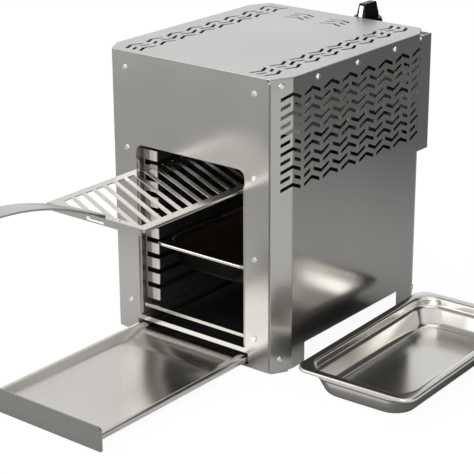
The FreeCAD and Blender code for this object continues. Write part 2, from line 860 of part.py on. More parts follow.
def make_burner_frame():
    """A flat frame under the plenum that holds the tiles up by their rims."""
    part = body("burner_frame")
    frame = sketch_on(part, "XY_Plane", z.burner_bottom - z.frame_lip)
    draw_rectangle(frame, -BURNER_HALF, BURNER_HALF, z.burner_front, BURNER_REAR)
    margin = z.frame_margin
    middle = TILE_FRONT + TILE_LENGTH + z.tile_gap / 2
    web = margin - z.sheet - z.gasket
    draw_rectangle(frame, -BURNER_HALF + margin, BURNER_HALF - margin, z.burner_front + margin, middle - web)
    draw_rectangle(frame, -BURNER_HALF + margin, BURNER_HALF - margin, middle + web, BURNER_REAR - margin)
    pad(part, frame, z.frame_lip)
    return part


def make_tiles():
    """Two perforated ceramic tiles that glow on their lower face."""
    part = body("ceramic_tiles")
    rows = []
    for index in range(int(z.tile_count.number)):
        front = TILE_FRONT + (TILE_LENGTH + z.tile_gap) * index
        rows.append((-TILE_HALF, TILE_HALF, front, front + TILE_LENGTH))
    plate(part, "XY_Plane", z.burner_bottom, z.tile_depth, *rows)
    return part


def make_gasket():
    """A fibre strip that seals the tiles into the plenum."""
    part = body("tile_gasket")
    ring = sketch_on(part, "XY_Plane", z.burner_bottom)
    draw_rectangle(ring, -BURNER_HALF + z.sheet, BURNER_HALF - z.sheet, z.burner_front + z.sheet,
                   BURNER_REAR - z.sheet)
    draw_rectangle(ring, -TILE_HALF, TILE_HALF, TILE_FRONT, TILE_REAR)
    pad(part, ring, z.tile_depth)
    return part


def make_baffle():
    """A plate under the plenum's roof that spreads the gas, on two folded legs."""
    part = body("baffle_plate")
    top = z.burner_top - z.sheet
    low = top - z.baffle_drop
    half = BURNER_HALF - z.baffle_gap
    front, rear = z.burner_front + z.baffle_gap, BURNER_REAR - z.baffle_gap
    plate(part, "XY_Plane", low, z.sheet, (-half, half, front, rear))
    plate(part, "XY_Plane", low, z.baffle_drop, (-half, half, front, front + z.sheet))
    return part


def turn(part, role, section):
    """Turns a section about the vertical axis of the given plane."""
    sketch = sketch_on(part, role)
    draw_polygon(sketch, section)
    new = part.newObject("PartDesign::Revolution", part.Label + "_turned")
    new.Profile = sketch
    new.ReferenceAxis = (sketch, ["V_Axis"])
    new.Angle = 360
    sketch.Visibility = False
    return new


def settle(part, across=0, depth=0, height=0):
    """Moves a finished part to its place."""
    tie(part, ".Placement.Base.x", across)
    tie(part, ".Placement.Base.y", depth)
    tie(part, ".Placement.Base.z", height)


def make_mixing_tube():
    """The tube that draws air round the jet, with a narrow throat, into the plenum's rear."""
    part = body("mixing_tube")
    start, end = BURNER_REAR - z.sheet, z.mixer_mouth
    middle = (start + end) / 2
    bore = z.mixer_radius - z.mixer_wall
    turn(part, "XY_Plane", [(z.mixer_radius, start), (z.mixer_radius, end), (bore, end),
                            (z.mixer_throat, middle), (bore, start)])
    settle(part, z.mixer_across, 0, z.mixer_height)
    return part


def make_burner_bar(label, front):
    """A channel across the housing from which the burner hangs, with a leaf on each side wall."""
    part = body(label)
    inner = HALF - z.sheet
    section = sketch_on(part, "YZ_Plane", -inner)
    low, rear = z.burner_top, front + z.burner_bar_width
    draw_polygon(section, [(front, low), (rear, low), (rear, low + z.burner_bar_height),
                           (rear - z.sheet, low + z.burner_bar_height), (rear - z.sheet, low + z.sheet),
                           (front + z.sheet, low + z.sheet),
                           (front + z.sheet, low + z.burner_bar_height),
                           (front, low + z.burner_bar_height)])
    pad(part, section, inner * 2)
    for wall in (-inner, inner - z.sheet):
        plate(part, "YZ_Plane", wall, z.sheet, (front, rear, low, low + z.burner_bar_height * 2))
    return part


def make_heat_shield():
    """A tray-like sheet over the burner that keeps its heat off the lid."""
    part = body("heat_shield")
    low = z.burner_top + z.burner_bar_height
    half = z.shield_width / 2
    front, rear = z.shield_front, z.shield_front + z.shield_length
    plate(part, "XY_Plane", low, z.sheet, (-half, half, front, rear))
    plate(part, "XY_Plane", low, z.shield_lip, (-half, -half + z.sheet, front, rear),
          (half - z.sheet, half, front, rear))
    return part


BLOCK_HALF = z.jet_block / 2
KNOB_DEPTH = HOUSING_REAR + z.knob_skirt_radius + z.knob_gap
BOX_FLOOR = z.rear_box_bottom + z.sheet
BOX_ROOF = z.rear_box_top - z.sheet
BOX_BACK = KNOB_DEPTH + z.valve_radius + z.valve_room
BOX_REAR = BOX_BACK + z.sheet
INLET_TOP = BOX_FLOOR + z.inlet_inside


def make_jet_holder():
    """A small block that turns the gas from the pipe into the jet."""
    part = body("jet_holder")
    plate(part, "XY_Plane", z.mixer_height - BLOCK_HALF, z.jet_block,
          (z.mixer_across - BLOCK_HALF, z.mixer_across + BLOCK_HALF, KNOB_DEPTH - BLOCK_HALF,
           KNOB_DEPTH + BLOCK_HALF))
    return part


def make_jet():
    """The drilled brass jet, pointing into the mixing tube."""
    part = body("gas_jet")
    back = KNOB_DEPTH - BLOCK_HALF
    tip = back - z.jet_length
    turn(part, "XY_Plane", [(z.jet_bore, tip), (z.jet_radius / 2, tip), (z.jet_radius, tip + z.jet_gap),
                            (z.jet_radius, back), (z.jet_bore, back)])
    settle(part, z.mixer_across, 0, z.mixer_height)
    return part


def bent_tube(label, points, bend, radius):
    """A round tube along straight runs joined by arcs, made from the sheet's numbers."""
    points = [Vector(*[as_size(value).number for value in point]) for point in points]
    edges = []
    start = points[0]
    for before, corner, after in zip(points, points[1:], points[2:]):
        inward, outward = (corner - before).normalize(), (after - corner).normalize()
        turned = inward.getAngle(outward)
        reach = bend.number * math.tan(turned / 2)
        first, last = corner - inward * reach, corner + outward * reach
        middle = (outward - inward).normalize()
        depth = bend.number / math.cos(turned / 2) - bend.number
        edges.append(Part.LineSegment(start, first).toShape())
        edges.append(Part.Arc(first, corner + middle * depth, last).toShape())
        start = last
    edges.append(Part.LineSegment(start, points[-1]).toShape())
    ring = Part.Wire(Part.Circle(points[0], (points[1] - points[0]).normalize(), radius.number).toShape())
    made = Part.Wire(edges).makePipeShell([ring], True, True)
    part = doc.addObject("Part::Feature", label)
    part.Label = label
    part.Shape = made
    PARTS.append(part)
    return part


def make_gas_pipe():
    """The bent pipe from the valve's side to the top of the jet's block."""
    level = z.valve_bottom + z.valve_radius * 2
    return bent_tube("gas_pipe", [
        (z.knob_across - z.valve_radius, KNOB_DEPTH, level), (z.mixer_across, KNOB_DEPTH, level),
        (z.mixer_across, KNOB_DEPTH, z.mixer_height + BLOCK_HALF)], z.pipe_bend, z.pipe_radius)


def make_supply_pipe():
    """The straight pipe from the inlet up to the valve."""
    part = body("supply_pipe")
    rod(part, "XY_Plane", INLET_TOP, z.valve_bottom - INLET_TOP, z.knob_across, KNOB_DEPTH,
        z.pipe_radius)
    return part


def hexagon(sketch, x, y, across):
    """A hexagon by its width across flats."""
    reach = across / 2 / math.cos(math.pi / 6)
    draw_polygon(sketch, [(x + reach * math.cos(step * math.pi / 3), y + reach * math.sin(step * math.pi / 3))
                          for step in range(6)])


def make_pipe_nuts():
    """The four union nuts of the two pipes."""
    part = body("pipe_nuts")
    level = z.valve_bottom + z.valve_radius * 2
    standing = [(z.knob_across, KNOB_DEPTH, INLET_TOP),
                (z.knob_across, KNOB_DEPTH, z.valve_bottom - z.nut_length),
                (z.mixer_across, KNOB_DEPTH, z.mixer_height + BLOCK_HALF)]
    for x, y, low in standing:
        sketch = sketch_on(part, "XY_Plane", low)
        hexagon(sketch, x, y, z.nut_across)
        draw_circle(sketch, x, y, z.pipe_radius)
        pad(part, sketch, z.nut_length)
    side = sketch_on(part, "YZ_Plane", z.knob_across - z.valve_radius - z.nut_length)
    hexagon(side, KNOB_DEPTH, level, z.nut_across)
    draw_circle(side, KNOB_DEPTH, level, z.pipe_radius)
    pad(part, side, z.nut_length)
    return part


def make_inlet():
    """The gas inlet: a quarter-inch pipe thread under the rear box, clamped through its floor."""
    part = body("inlet_fitting")
    neck = z.inlet_radius + z.running_gap
    flange = z.sheet * 2.5
    low = z.rear_box_bottom - flange
    turn(part, "XZ_Plane", [(z.inlet_bore, low - z.inlet_thread), (z.inlet_radius, low - z.inlet_thread),
                            (z.inlet_radius, low), (z.inlet_flange, low),
                            (z.inlet_flange, z.rear_box_bottom), (neck, z.rear_box_bottom),
                            (neck, BOX_FLOOR), (z.inlet_flange, BOX_FLOOR),
                            (z.inlet_flange, BOX_FLOOR + flange), (z.nut_across / 2, BOX_FLOOR + flange),
                            (z.nut_across / 2, INLET_TOP), (z.inlet_bore, INLET_TOP)])
    settle(part, z.knob_across, KNOB_DEPTH)
    return part


def make_valve_body():
    """The gas tap under the knob, with a bore for its spindle."""
    part = body("valve_body")
    bore = z.spindle_radius + z.valve_fit
    turn(part, "XZ_Plane", [(0, z.valve_bottom), (z.valve_radius, z.valve_bottom),
                            (z.valve_radius, z.valve_body_top), (z.valve_collar_radius, z.valve_body_top),
                            (z.valve_collar_radius, BOX_ROOF), (z.valve_neck_radius, BOX_ROOF),
                            (z.valve_neck_radius, z.valve_neck_top), (bore, z.valve_neck_top),
                            (bore, z.valve_bore_bottom), (0, z.valve_bore_bottom)])
    settle(part, z.knob_across, KNOB_DEPTH)
    return part


def make_spindle():
    """The tap's spindle, which the knob turns."""
    part = body("valve_spindle")
    rod(part, "XY_Plane", z.spindle_bottom, z.spindle_top - z.spindle_bottom, z.knob_across, KNOB_DEPTH,
        z.spindle_radius)
    return part


def make_push_pin():
    """The pin under the spindle that opens the flame guard when the knob is pressed."""
    part = body("valve_push_pin")
    top = z.spindle_bottom - z.push_pin_gap
    rod(part, "XY_Plane", z.push_pin_bottom, top - z.push_pin_bottom, z.knob_across, KNOB_DEPTH,
        z.push_pin_radius)
    return part


def make_bezel():
    """The washer under the tap's nut."""
    part = body("knob_bezel")
    rod(part, "XY_Plane", z.rear_box_top, z.bezel_height, z.knob_across, KNOB_DEPTH, z.bezel_radius,
        z.valve_neck_radius)
    return part


def make_valve_nut():
    """The nut that clamps the tap to the rear box's roof."""
    part = body("valve_nut")
    sketch = sketch_on(part, "XY_Plane", z.rear_box_top + z.bezel_height)
    hexagon(sketch, z.knob_across, KNOB_DEPTH, z.valve_nut_across)
    draw_circle(sketch, z.knob_across, KNOB_DEPTH, z.valve_neck_radius)
    pad(part, sketch, z.valve_nut_height)
    return part


KNOB_SHOULDER = z.knob_skirt + z.knob_skirt_height
GRIP_REAR = z.knob_grip_length / 2
GRIP_LEAN = z.knob_grip_width / 3


def make_knob():
    """A round skirt, hollow over the nut, under a bar grip that narrows upwards."""
    part = body("knob")
    turn(part, "XZ_Plane", [(z.spindle_radius, z.knob_skirt + z.knob_cavity_height),
                            (z.knob_cavity_radius, z.knob_skirt + z.knob_cavity_height),
                            (z.knob_cavity_radius, z.knob_skirt), (z.knob_skirt_radius, z.knob_skirt),
                            (z.knob_skirt_radius, KNOB_SHOULDER - z.knob_skirt_height / 2),
                            (GRIP_REAR + 1, KNOB_SHOULDER), (z.spindle_radius, KNOB_SHOULDER)])
    foot = sketch_on(part, "XY_Plane", KNOB_SHOULDER)
    draw_rectangle(foot, -z.knob_grip_width / 2, z.knob_grip_width / 2, -GRIP_REAR, GRIP_REAR)
    top = sketch_on(part, "XY_Plane", z.knob_top)
    narrow = z.knob_grip_width / 2 * 0.72
    draw_rectangle(top, -narrow, narrow, -GRIP_REAR + GRIP_LEAN, GRIP_REAR - GRIP_LEAN)
    grip = part.newObject("PartDesign::AdditiveLoft", "knob_grip")
    grip.Profile = foot
    grip.Sections = [top]
    grip.Ruled = True
    foot.Visibility = top.Visibility = False
    bore = sketch_on(part, "XY_Plane", KNOB_SHOULDER)
    draw_circle(bore, 0, 0, z.spindle_radius)
    cut(part, bore, z.spindle_top - KNOB_SHOULDER)

    def grip_edge(edge):
        return edge.BoundBox.ZMin > KNOB_SHOULDER.number + 1

    soften(part, z.sheet, lambda edge: grip_edge(edge) and edge.BoundBox.ZMax > z.knob_top.number - 1
           and edge.BoundBox.ZLength < 1)
    settle(part, z.knob_across, KNOB_DEPTH)
    return part


def make_inlay():
    """The bright strip down the grip's front end."""
    part = body("knob_inlay")
    rise = z.knob_top - KNOB_SHOULDER
    lean = GRIP_LEAN / rise
    low, high = z.sheet * 2, rise - z.sheet * 3
    sketch = sketch_on(part, "YZ_Plane", -z.knob_inlay_width)
    draw_polygon(sketch, [(-GRIP_REAR + lean * low, KNOB_SHOULDER + low),
                          (-GRIP_REAR + lean * high, KNOB_SHOULDER + high),
                          (-GRIP_REAR + lean * high - z.knob_inlay_depth, KNOB_SHOULDER + high),
                          (-GRIP_REAR + lean * low - z.knob_inlay_depth, KNOB_SHOULDER + low)])
    pad(part, sketch, z.knob_inlay_width * 2)
    settle(part, z.knob_across, KNOB_DEPTH)
    return part


def make_probe():
    """The flame probe: a rod that turns in under the tiles."""
    return bent_tube("flame_probe", [
        (z.probe_across, PROBE_DEPTH, z.bracket_height + z.probe_collar * 2),
        (z.probe_across, PROBE_DEPTH, PROBE_LEVEL),
        (z.probe_across, BURNER_REAR - z.probe_reach, PROBE_LEVEL)], z.probe_collar, z.probe_radius)


def make_probe_lead():
    """The thin tube from the flame probe through the rear wall to the tap."""
    high = LEAD_HEIGHT + z.valve_radius * 2
    return bent_tube("probe_lead", [
        (z.probe_across, PROBE_DEPTH, z.bracket_height + z.probe_collar * 2),
        (z.probe_across, PROBE_DEPTH, LEAD_HEIGHT), (z.probe_across, KNOB_DEPTH, LEAD_HEIGHT),
        (z.probe_across, KNOB_DEPTH, high), (z.knob_across + z.valve_radius, KNOB_DEPTH, high)],
        z.probe_collar + z.lead_radius, z.lead_radius)


def make_electrode():
    """The spark rod, which ends under the tiles."""
    return bent_tube("spark_electrode", [
        (z.spark_across, PROBE_DEPTH, INSULATOR_TOP + z.probe_collar * 2),
        (z.spark_across, PROBE_DEPTH, PROBE_LEVEL),
        (z.spark_across, BURNER_REAR - z.probe_reach, PROBE_LEVEL)], z.probe_collar, z.spark_rod)


def make_insulator():
    """The ceramic sleeve of the spark rod."""
    part = body("electrode_insulator")
    rod(part, "XY_Plane", INSULATOR_LOW, INSULATOR_TOP - INSULATOR_LOW, z.spark_across, PROBE_DEPTH,
        z.spark_insulator, z.spark_rod)
    return part


def make_spark_lead():
    """The lead from the spark rod through the rear wall to the spark module."""
    return bent_tube("spark_lead", [
        (z.spark_across, PROBE_DEPTH, INSULATOR_TOP + z.probe_collar * 2),
        (z.spark_across, PROBE_DEPTH, SPARK_TOP),
        (z.spark_across, BOX_BACK - z.module_depth, SPARK_TOP)], z.probe_collar + z.lead_radius,
        z.lead_radius)


def make_spark_module():
    """The spark module on the rear box's back."""
    part = body("spark_module")
    plate(part, "XY_Plane", SPARK_TOP - z.module_height / 2, z.module_height,
          (z.spark_across - z.module_width / 2, z.spark_across + z.module_width / 2,
           BOX_BACK - z.module_depth, BOX_BACK))
    return part


def make_probe_bracket():
    """An angle on the burner's rear that carries the probe and the spark rod."""
    part = body("probe_bracket")
    left, right = z.spark_across - z.bracket_depth, z.probe_across + z.bracket_depth
    leaf = sketch_on(part, "XY_Plane", z.bracket_height)
    draw_rectangle(leaf, left, right, BURNER_REAR, BURNER_REAR + z.bracket_depth)
    draw_circle(leaf, z.spark_across, PROBE_DEPTH, z.spark_insulator)
    draw_circle(leaf, z.probe_across, PROBE_DEPTH, z.probe_radius)
    pad(part, leaf, z.sheet)
    rise = z.mixer_height - z.mixer_radius - z.bracket_height - z.running_gap
    plate(part, "XY_Plane", z.bracket_height, rise, (left, right, BURNER_REAR, BURNER_REAR + z.sheet))
    return part


def make_rear_box():
    """The valve's cover on the housing's back: five walls, a hemmed top rim and a foot flange."""
    part = body("rear_box")
    half = z.rear_box_width / 2
    front, rear = HOUSING_REAR, BOX_REAR
    plate(part, "XY_Plane", z.rear_box_bottom, z.rear_box_top - z.rear_box_bottom,
          (-half, half, front, rear))
    inside = sketch_on(part, "XY_Plane", BOX_FLOOR)
    draw_rectangle(inside, -half + z.sheet, half - z.sheet, front - 1, BOX_BACK)
    cut(part, inside, BOX_ROOF - BOX_FLOOR)
    hem = z.rear_box_hem
    rim = sketch_on(part, "XY_Plane", z.rear_box_top)
    back = HOUSING_REAR + hem
    draw_polygon(rim, [(-half, back), (-half + hem, back), (-half + hem, rear - hem),
                       (half - hem, rear - hem), (half - hem, back), (half, back), (half, rear),
                       (-half, rear)])
    pad(part, rim, hem)
    plate(part, "XZ_Plane", HOUSING_REAR, z.sheet,
          (-half, half, z.rear_box_bottom - z.rear_box_flange, BOX_FLOOR))
    holes(part, "XY_Plane", z.rear_box_bottom - 1, z.sheet + 2, z.inlet_radius + z.running_gap,
          [(z.knob_across, KNOB_DEPTH)])
    holes(part, "XY_Plane", BOX_ROOF - 1, z.sheet + 2, z.valve_neck_radius, [(z.knob_across, KNOB_DEPTH)])
    return part


def make_spacers():
    """Four posts between the chamber and the housing's rear wall."""
    part = body("rear_spacers")
    posts = sketch_on(part, "XZ_Plane", z.chamber_rear + z.sheet)
    for across in (-z.spacer_spread / 2, z.spacer_spread / 2):
        for height in (z.spacer_low, z.spacer_low + z.spacer_rise):
            draw_circle(posts, across, height, z.spacer_radius)
    pad(part, posts, HOUSING_REAR - z.sheet - z.chamber_rear - z.sheet)
    return part


def loft(part, kind, sketches):
    """A solid, or a hollow, that blends straight from one outline to the next."""
    new = part.newObject("PartDesign::" + kind, part.Label + "_" + kind)
    new.Profile = sketches[0]
    new.Sections = sketches[1:]
    new.Ruled = True
    for sketch in sketches:
        sketch.Visibility = False
    if kind == "SubtractiveLoft":
        CUTS.append(new)
    return new


def make_drip_tray():
    """A shallow tray with a rim and skirt on three sides, and a low, sloping rear."""
    part = body("drip_tray")
    rim, gauge = z.tray_rim_half, z.tray_sheet
    under = z.tray_rim_top - gauge
    plate(part, "XY_Plane", under, gauge, (-rim, rim, z.tray_front, z.tray_rear))
    lip = z.tray_rim_half - z.tray_body_half
    front, rear = z.tray_front + lip / 2, z.tray_rear - lip * 2
    lean = z.tray_body_half - z.tray_floor_half

    def outline(height, inset, slope, corner):
        sketch = sketch_on(part, "XY_Plane", height)
        side = z.tray_body_half - inset - lean * slope
        draw_rounded(sketch, -side, side, front + inset + lean * slope,
                     rear - inset - z.tray_rear_slope * slope, corner)
        return sketch

    loft(part, "AdditiveLoft", [outline(under, 0, 0, z.tray_corner),
                                outline(z.tray_floor_bottom, 0, 1, z.tray_corner)])
    plate(part, "XY_Plane", z.tray_skirt_bottom, z.tray_rim_top - z.tray_skirt_bottom,
          (-rim, -rim + gauge, z.tray_front, z.tray_rear), (rim - gauge, rim, z.tray_front, z.tray_rear),
          (-rim + gauge, rim - gauge, z.tray_front, z.tray_front + gauge))
    low = z.tray_rim_top - z.tray_rear_drop
    open_half = z.tray_body_half - lip
    gate = sketch_on(part, "XY_Plane", low)
    draw_rectangle(gate, -open_half, open_half, rear - lip, z.tray_rear + 1)
    cut(part, gate, z.tray_rear_drop + 1)
    plate(part, "XY_Plane", low - gauge, gauge, (-z.tray_body_half, z.tray_body_half, rear - lip * 2,
                                                 z.tray_rear))
    notch = sketch_on(part, "XY_Plane", z.tray_skirt_bottom - 1)
    draw_rectangle(notch, -rim - 1, -open_half - z.sheet, z.tray_rear - z.tray_notch, z.tray_rear + 1)
    cut(part, notch, z.tray_rim_top)
    loft(part, "SubtractiveLoft", [outline(z.tray_floor_bottom + gauge, gauge, 1, z.tray_corner),
                                   outline(z.tray_rim_top, gauge, 0, z.tray_corner)])
    return part


def make_drawer_front():
    """The drawer's face, with round corners."""
    part = body("drawer_front")
    sketch = sketch_on(part, "XZ_Plane", z.tray_front - z.drawer_plate)
    draw_rounded(sketch, -z.drawer_half, z.drawer_half, z.drawer_bottom, z.drawer_top,
                 z.drawer_top_corner, z.drawer_low_corner)
    pad(part, sketch, z.drawer_plate)
    return part


GRATE_REAR = z.grate_front + z.grate_length
GRATE_UNDER = z.grate_top - z.grate_sheet
TONGUE_REAR = z.grate_tongue_front + z.grate_tongue_gap


def make_grate():
    """A sheet cut into slanting bars, with side rims, a deep front lip and a low rear lip."""
    part = body("grate")
    inner = z.grate_half - z.grate_rim
    plate(part, "XY_Plane", GRATE_UNDER, z.grate_sheet, (-inner, inner, z.grate_front, GRATE_REAR))
    half, drop, open_length = z.grate_slot_half, z.grate_slot_drop, z.grate_slot_length
    slot = sketch_on(part, "XY_Plane", GRATE_UNDER - 1)
    start = z.grate_slot_start
    draw_polygon(slot, [(-half, start - open_length), (half, start - drop - open_length),
                        (half, start - drop), (-half, start)])
    first = cut(part, slot, z.grate_sheet + 2)
    repeat(part, first, "Y_Axis", z.grate_slot_pitch, z.grate_slots)
    plate(part, "XY_Plane", GRATE_UNDER, z.grate_sheet,
          (-inner, inner, z.grate_front, z.grate_front + z.grate_front_margin),
          (-inner, inner, GRATE_REAR - z.grate_rear_margin, GRATE_REAR))
    rim_height = z.grate_top - z.grate_rim_bottom
    plate(part, "XY_Plane", z.grate_rim_bottom, rim_height,
          (-z.grate_half, -inner, z.grate_front, GRATE_REAR),
          (inner, z.grate_half, z.grate_front, GRATE_REAR))
    lip = z.grate_lip_half
    plate(part, "XZ_Plane", z.grate_front, z.grate_sheet,
          (-lip, lip, z.grate_top - z.grate_lip, z.grate_top))
    plate(part, "XZ_Plane", GRATE_REAR - z.grate_sheet, z.grate_sheet,
          (-lip, lip, z.grate_rim_bottom, z.grate_top))

    def rim_edge(edge):
        outside = abs(abs(edge.CenterOfMass.x) - z.grate_half.number) < 0.01
        return outside and along(edge, Vector(0, 1, 0))

    soften(part, z.grate_rim * 0.35, rim_edge)
    window = sketch_on(part, "XZ_Plane", z.grate_front - 1)
    middle = z.grate_top - z.grate_lip * 0.6
    draw_rectangle(window, -z.grate_window / 2, z.grate_window / 2, middle - z.grate_window_height / 2,
                   middle + z.grate_window_height / 2)
    cut(part, window, z.grate_sheet + 2)
    tongue = sketch_on(part, "XY_Plane", GRATE_UNDER - 1)
    draw_rectangle(tongue, -z.grate_tongue_slot / 2, z.grate_tongue_slot / 2, z.grate_tongue_front,
                   TONGUE_REAR)
    cut(part, tongue, z.grate_sheet + 2)
    return part


def make_socket():
    """A stiffening plate under the grate's front margin, with the handle's slot."""
    part = body("handle_socket")
    half = z.socket_half
    sketch = sketch_on(part, "XY_Plane", GRATE_UNDER - z.socket_sheet)
    front = z.grate_front + z.grate_sheet
    rear = z.grate_front + z.grate_front_margin
    draw_rectangle(sketch, -half, half, front, rear)
    draw_rectangle(sketch, -z.grate_tongue_slot / 2, z.grate_tongue_slot / 2, z.grate_tongue_front,
                   TONGUE_REAR)
    pad(part, sketch, z.socket_sheet)
    return part


def make_handle():
    """A wide strip: a tongue in the grate's slot, a straight leg and a long flat arch."""
    half = z.handle_width.number / 2
    gauge = z.handle_sheet.number
    lean = math.radians(z.handle_lean.number)
    bend = z.handle_radius.number
    rear = (z.grate_tongue_front + z.grate_tongue_gap / 2 + z.handle_sheet / 2).number
    low = z.handle_rest.number
    front = rear - gauge
    leg = z.handle_leg.number
    ahead = Vector(0, -math.cos(lean), math.sin(lean))
    up = Vector(0, math.sin(lean), math.cos(lean))
    start = Vector(-half, front, low)
    knee = start + ahead * leg
    centre = knee - up * bend
    crown = centre + Vector(0, 0, bend)
    half_way = Vector(0, math.sin(lean / 2), math.cos(lean / 2))
    middle = centre + half_way * bend
    lift = Vector(0, 0, gauge)
    outer_middle = centre + half_way * (bend + gauge)
    rise = Vector(0, 0, gauge / math.cos(lean))
    edges = [Part.LineSegment(start, knee), Part.Arc(knee, middle, crown),
             Part.LineSegment(crown, crown + lift),
             Part.Arc(crown + lift, outer_middle, knee + up * gauge)]
    top = start + rise
    edges += [Part.LineSegment(knee + up * gauge, top), Part.LineSegment(top, start)]
    strip = Part.Face(Part.Wire([edge.toShape() for edge in edges])).extrude(Vector(half * 2, 0, 0))
    ends = [edge for edge in strip.Edges if edge.Length < gauge * 1.01
            and edge.CenterOfMass.y < crown.y + 0.01]
    strip = strip.makeFillet(z.handle_end_radius.number, ends)
    tongue_half = z.handle_tongue_width.number / 2
    drop = z.handle_tongue_drop.number
    tongue = Part.makeBox(tongue_half * 2, gauge, drop + rise.z, Vector(-tongue_half, front, low - drop))
    part = doc.addObject("Part::Feature", "lifting_handle")
    part.Label = "lifting_handle"
    part.Shape = strip.fuse(tongue).removeSplitter()
    PARTS.append(part)
    return part


def make_pan(label, across, front, height, angle):
    """A gastronorm pan: a rolled rim, an upright band, a step and tapered walls with large corners."""
    part = body(label)
    wide, long = z.pan_width / 2, z.pan_length / 2
    gauge = z.pan_sheet
    step_level = z.pan_depth - z.pan_band

    def outline(level, inset, corner):
        sketch = sketch_on(part, "XY_Plane", level)
        draw_rounded(sketch, inset - wide, wide - inset, inset - long, long - inset, corner)
        return sketch

    band = z.pan_rim_width
    wall = band + z.pan_step
    floor = wall + z.pan_taper
    corner = z.pan_floor_corner
    loft(part, "AdditiveLoft", [outline(0, floor, corner), outline(step_level, wall, corner),
                                outline(step_level + z.pan_step / 2, band, corner),
                                outline(z.pan_depth, band, corner)])
    pad(part, outline(z.pan_depth - gauge, 0, z.pan_corner), gauge)
    roll = outline(z.pan_depth - z.pan_rim_roll, 0, z.pan_corner)
    inner = z.pan_rim_roll * 0.6
    draw_rounded(roll, inner - wide, wide - inner, inner - long, long - inner, z.pan_corner - inner)
    pad(part, roll, z.pan_rim_roll)
    loft(part, "SubtractiveLoft", [outline(gauge, floor + gauge, corner - gauge),
                                   outline(step_level + gauge, wall + gauge, corner - gauge),
                                   outline(step_level + gauge + z.pan_step / 2, band + gauge,
                                           corner - gauge),
                                   outline(z.pan_depth + 1, band + gauge, corner - gauge)])

    def rim_edge(edge):
        box = edge.BoundBox
        outside = box.XMax > wide.number - z.pan_corner.number or box.XMin < z.pan_corner.number - wide.number
        return box.ZLength < 0.01 and abs(box.ZMax - z.pan_depth.number) < 0.01 and outside \
            and reach_out(edge) > 1 - 0.001

    def reach_out(edge):
        middle = edge.valueAt((edge.FirstParameter + edge.LastParameter) / 2)
        x = max(0, abs(middle.x) - wide.number + z.pan_corner.number)
        y = max(0, abs(middle.y) - long.number + z.pan_corner.number)
        return math.hypot(x, y) / z.pan_corner.number

    soften(part, z.pan_rim_roll * 0.35, rim_edge)
    turned = FreeCAD.Rotation(Vector(0, 0, 1), angle.number)
    part.Placement = FreeCAD.Placement(Vector(0, 0, 0), turned)
    tie(part, ".Placement.Rotation.Angle", angle)
    settle(part, across, front + long, height)
    return part


def make_fasteners(label, places, head_radius, head_height, reach=None):
    """Domed heads on a surface, with a shank where they have a reach; each place is x, y, z and a side."""
    pieces = []
    for index, (x, y, height, outward) in enumerate(places):
        base = [as_size(value) for value in (x, y, height)]
        head = doc.addObject("Part::Cone", "%s_head_%d" % (label, index))
        tie(head, "Radius1", head_radius)
        tie(head, "Radius2", head_radius * 0.7)
        tie(head, "Height", head_height)
        shapes = [(head, outward)]
        if reach is not None:
            shank = doc.addObject("Part::Cylinder", "%s_shank_%d" % (label, index))
            tie(shank, "Radius", z.screw_radius)
            tie(shank, "Height", reach)
            shapes.append((shank, outward * -1))
        for shape, direction in shapes:
            shape.Placement.Rotation = FreeCAD.Rotation(Vector(0, 0, 1), direction)
            for name, value in zip("xyz", base):
                tie(shape, ".Placement.Base." + name, value)
            shape.Visibility = False
            pieces.append(shape)
    part = doc.addObject("Part::MultiFuse", label)
    part.Label = label
    part.Shapes = pieces
    PARTS.append(part)
    return part


def make_rivet_nuts():
    """The eight threaded inserts behind the front panel."""
    part = body("panel_rivet_nuts")
    sketch = sketch_on(part, "XZ_Plane", FLANGE_BACK)
    for x, height in PANEL_SCREWS:
        draw_circle(sketch, x, height, z.rivet_nut_radius)
        draw_circle(sketch, x, height, z.screw_radius)
    pad(part, sketch, z.rivet_nut_length)
    return part


def chamfer_places(height, inset):
    """The middle of each chamfer, at the given height, with the way it faces."""
    slope = math.atan2(z.chamfer_run.number, z.side_front.number)
    places = []
    for side in (1, -1):
        for y, ahead in ((z.side_front * inset, -1), (HOUSING_REAR - z.side_front * inset, 1)):
            x = side * (CHAMFER_EDGE + z.chamfer_run * inset)
            places.append((x, y, height, Vector(side * math.cos(slope), ahead * math.sin(slope), 0)))
    return places


make_mantle()
make_front_panel()
make_lid()
for rear in (False, True):
    for side, name in ((-1, "left"), (1, "right")):
        make_foot("foot_%s_%s" % ("rear" if rear else "front", name), side, rear)
make_chamber()
make_spacers()
for side, name in ((-1, "left"), (1, "right")):
    make_guide("rack_guide_" + name, side)
    make_runner("tray_runner_" + name, side)
make_cross_bar()
make_burner_housing()
make_burner_frame()
make_tiles()
make_gasket()
make_baffle()
make_mixing_tube()
make_burner_bar("burner_bar_front", z.burner_bar_front)
make_burner_bar("burner_bar_rear", z.burner_bar_rear)
make_heat_shield()
make_jet_holder()
make_jet()
make_gas_pipe()
make_supply_pipe()
make_pipe_nuts()
make_inlet()
make_valve_body()
make_valve_nut()
make_spindle()
make_push_pin()
make_bezel()
make_knob()
make_inlay()
make_rear_box()
make_probe_bracket()
make_probe()
make_probe_lead()
make_electrode()
make_insulator()
make_spark_lead()
make_spark_module()
make_drip_tray()
make_drawer_front()
make_grate()
make_socket()
make_handle()
make_pan("pan_inside", 0, z.inside_pan_front, z.guide_slot_top - z.guide_slot_pitch * z.inside_pan_level
         - z.guide_slot_height / 2 + z.running_gap - z.pan_depth + z.pan_rim_roll, as_size(0))
make_pan("pan_loose", z.loose_pan_across, z.loose_pan_front, 0, z.loose_pan_turn)
make_rivet_nuts()
make_fasteners("panel_screws", [(x, 0, height, Vector(0, -1, 0)) for x, height in PANEL_SCREWS],
               z.screw_head_radius, z.screw_head_height, z.screw_reach)
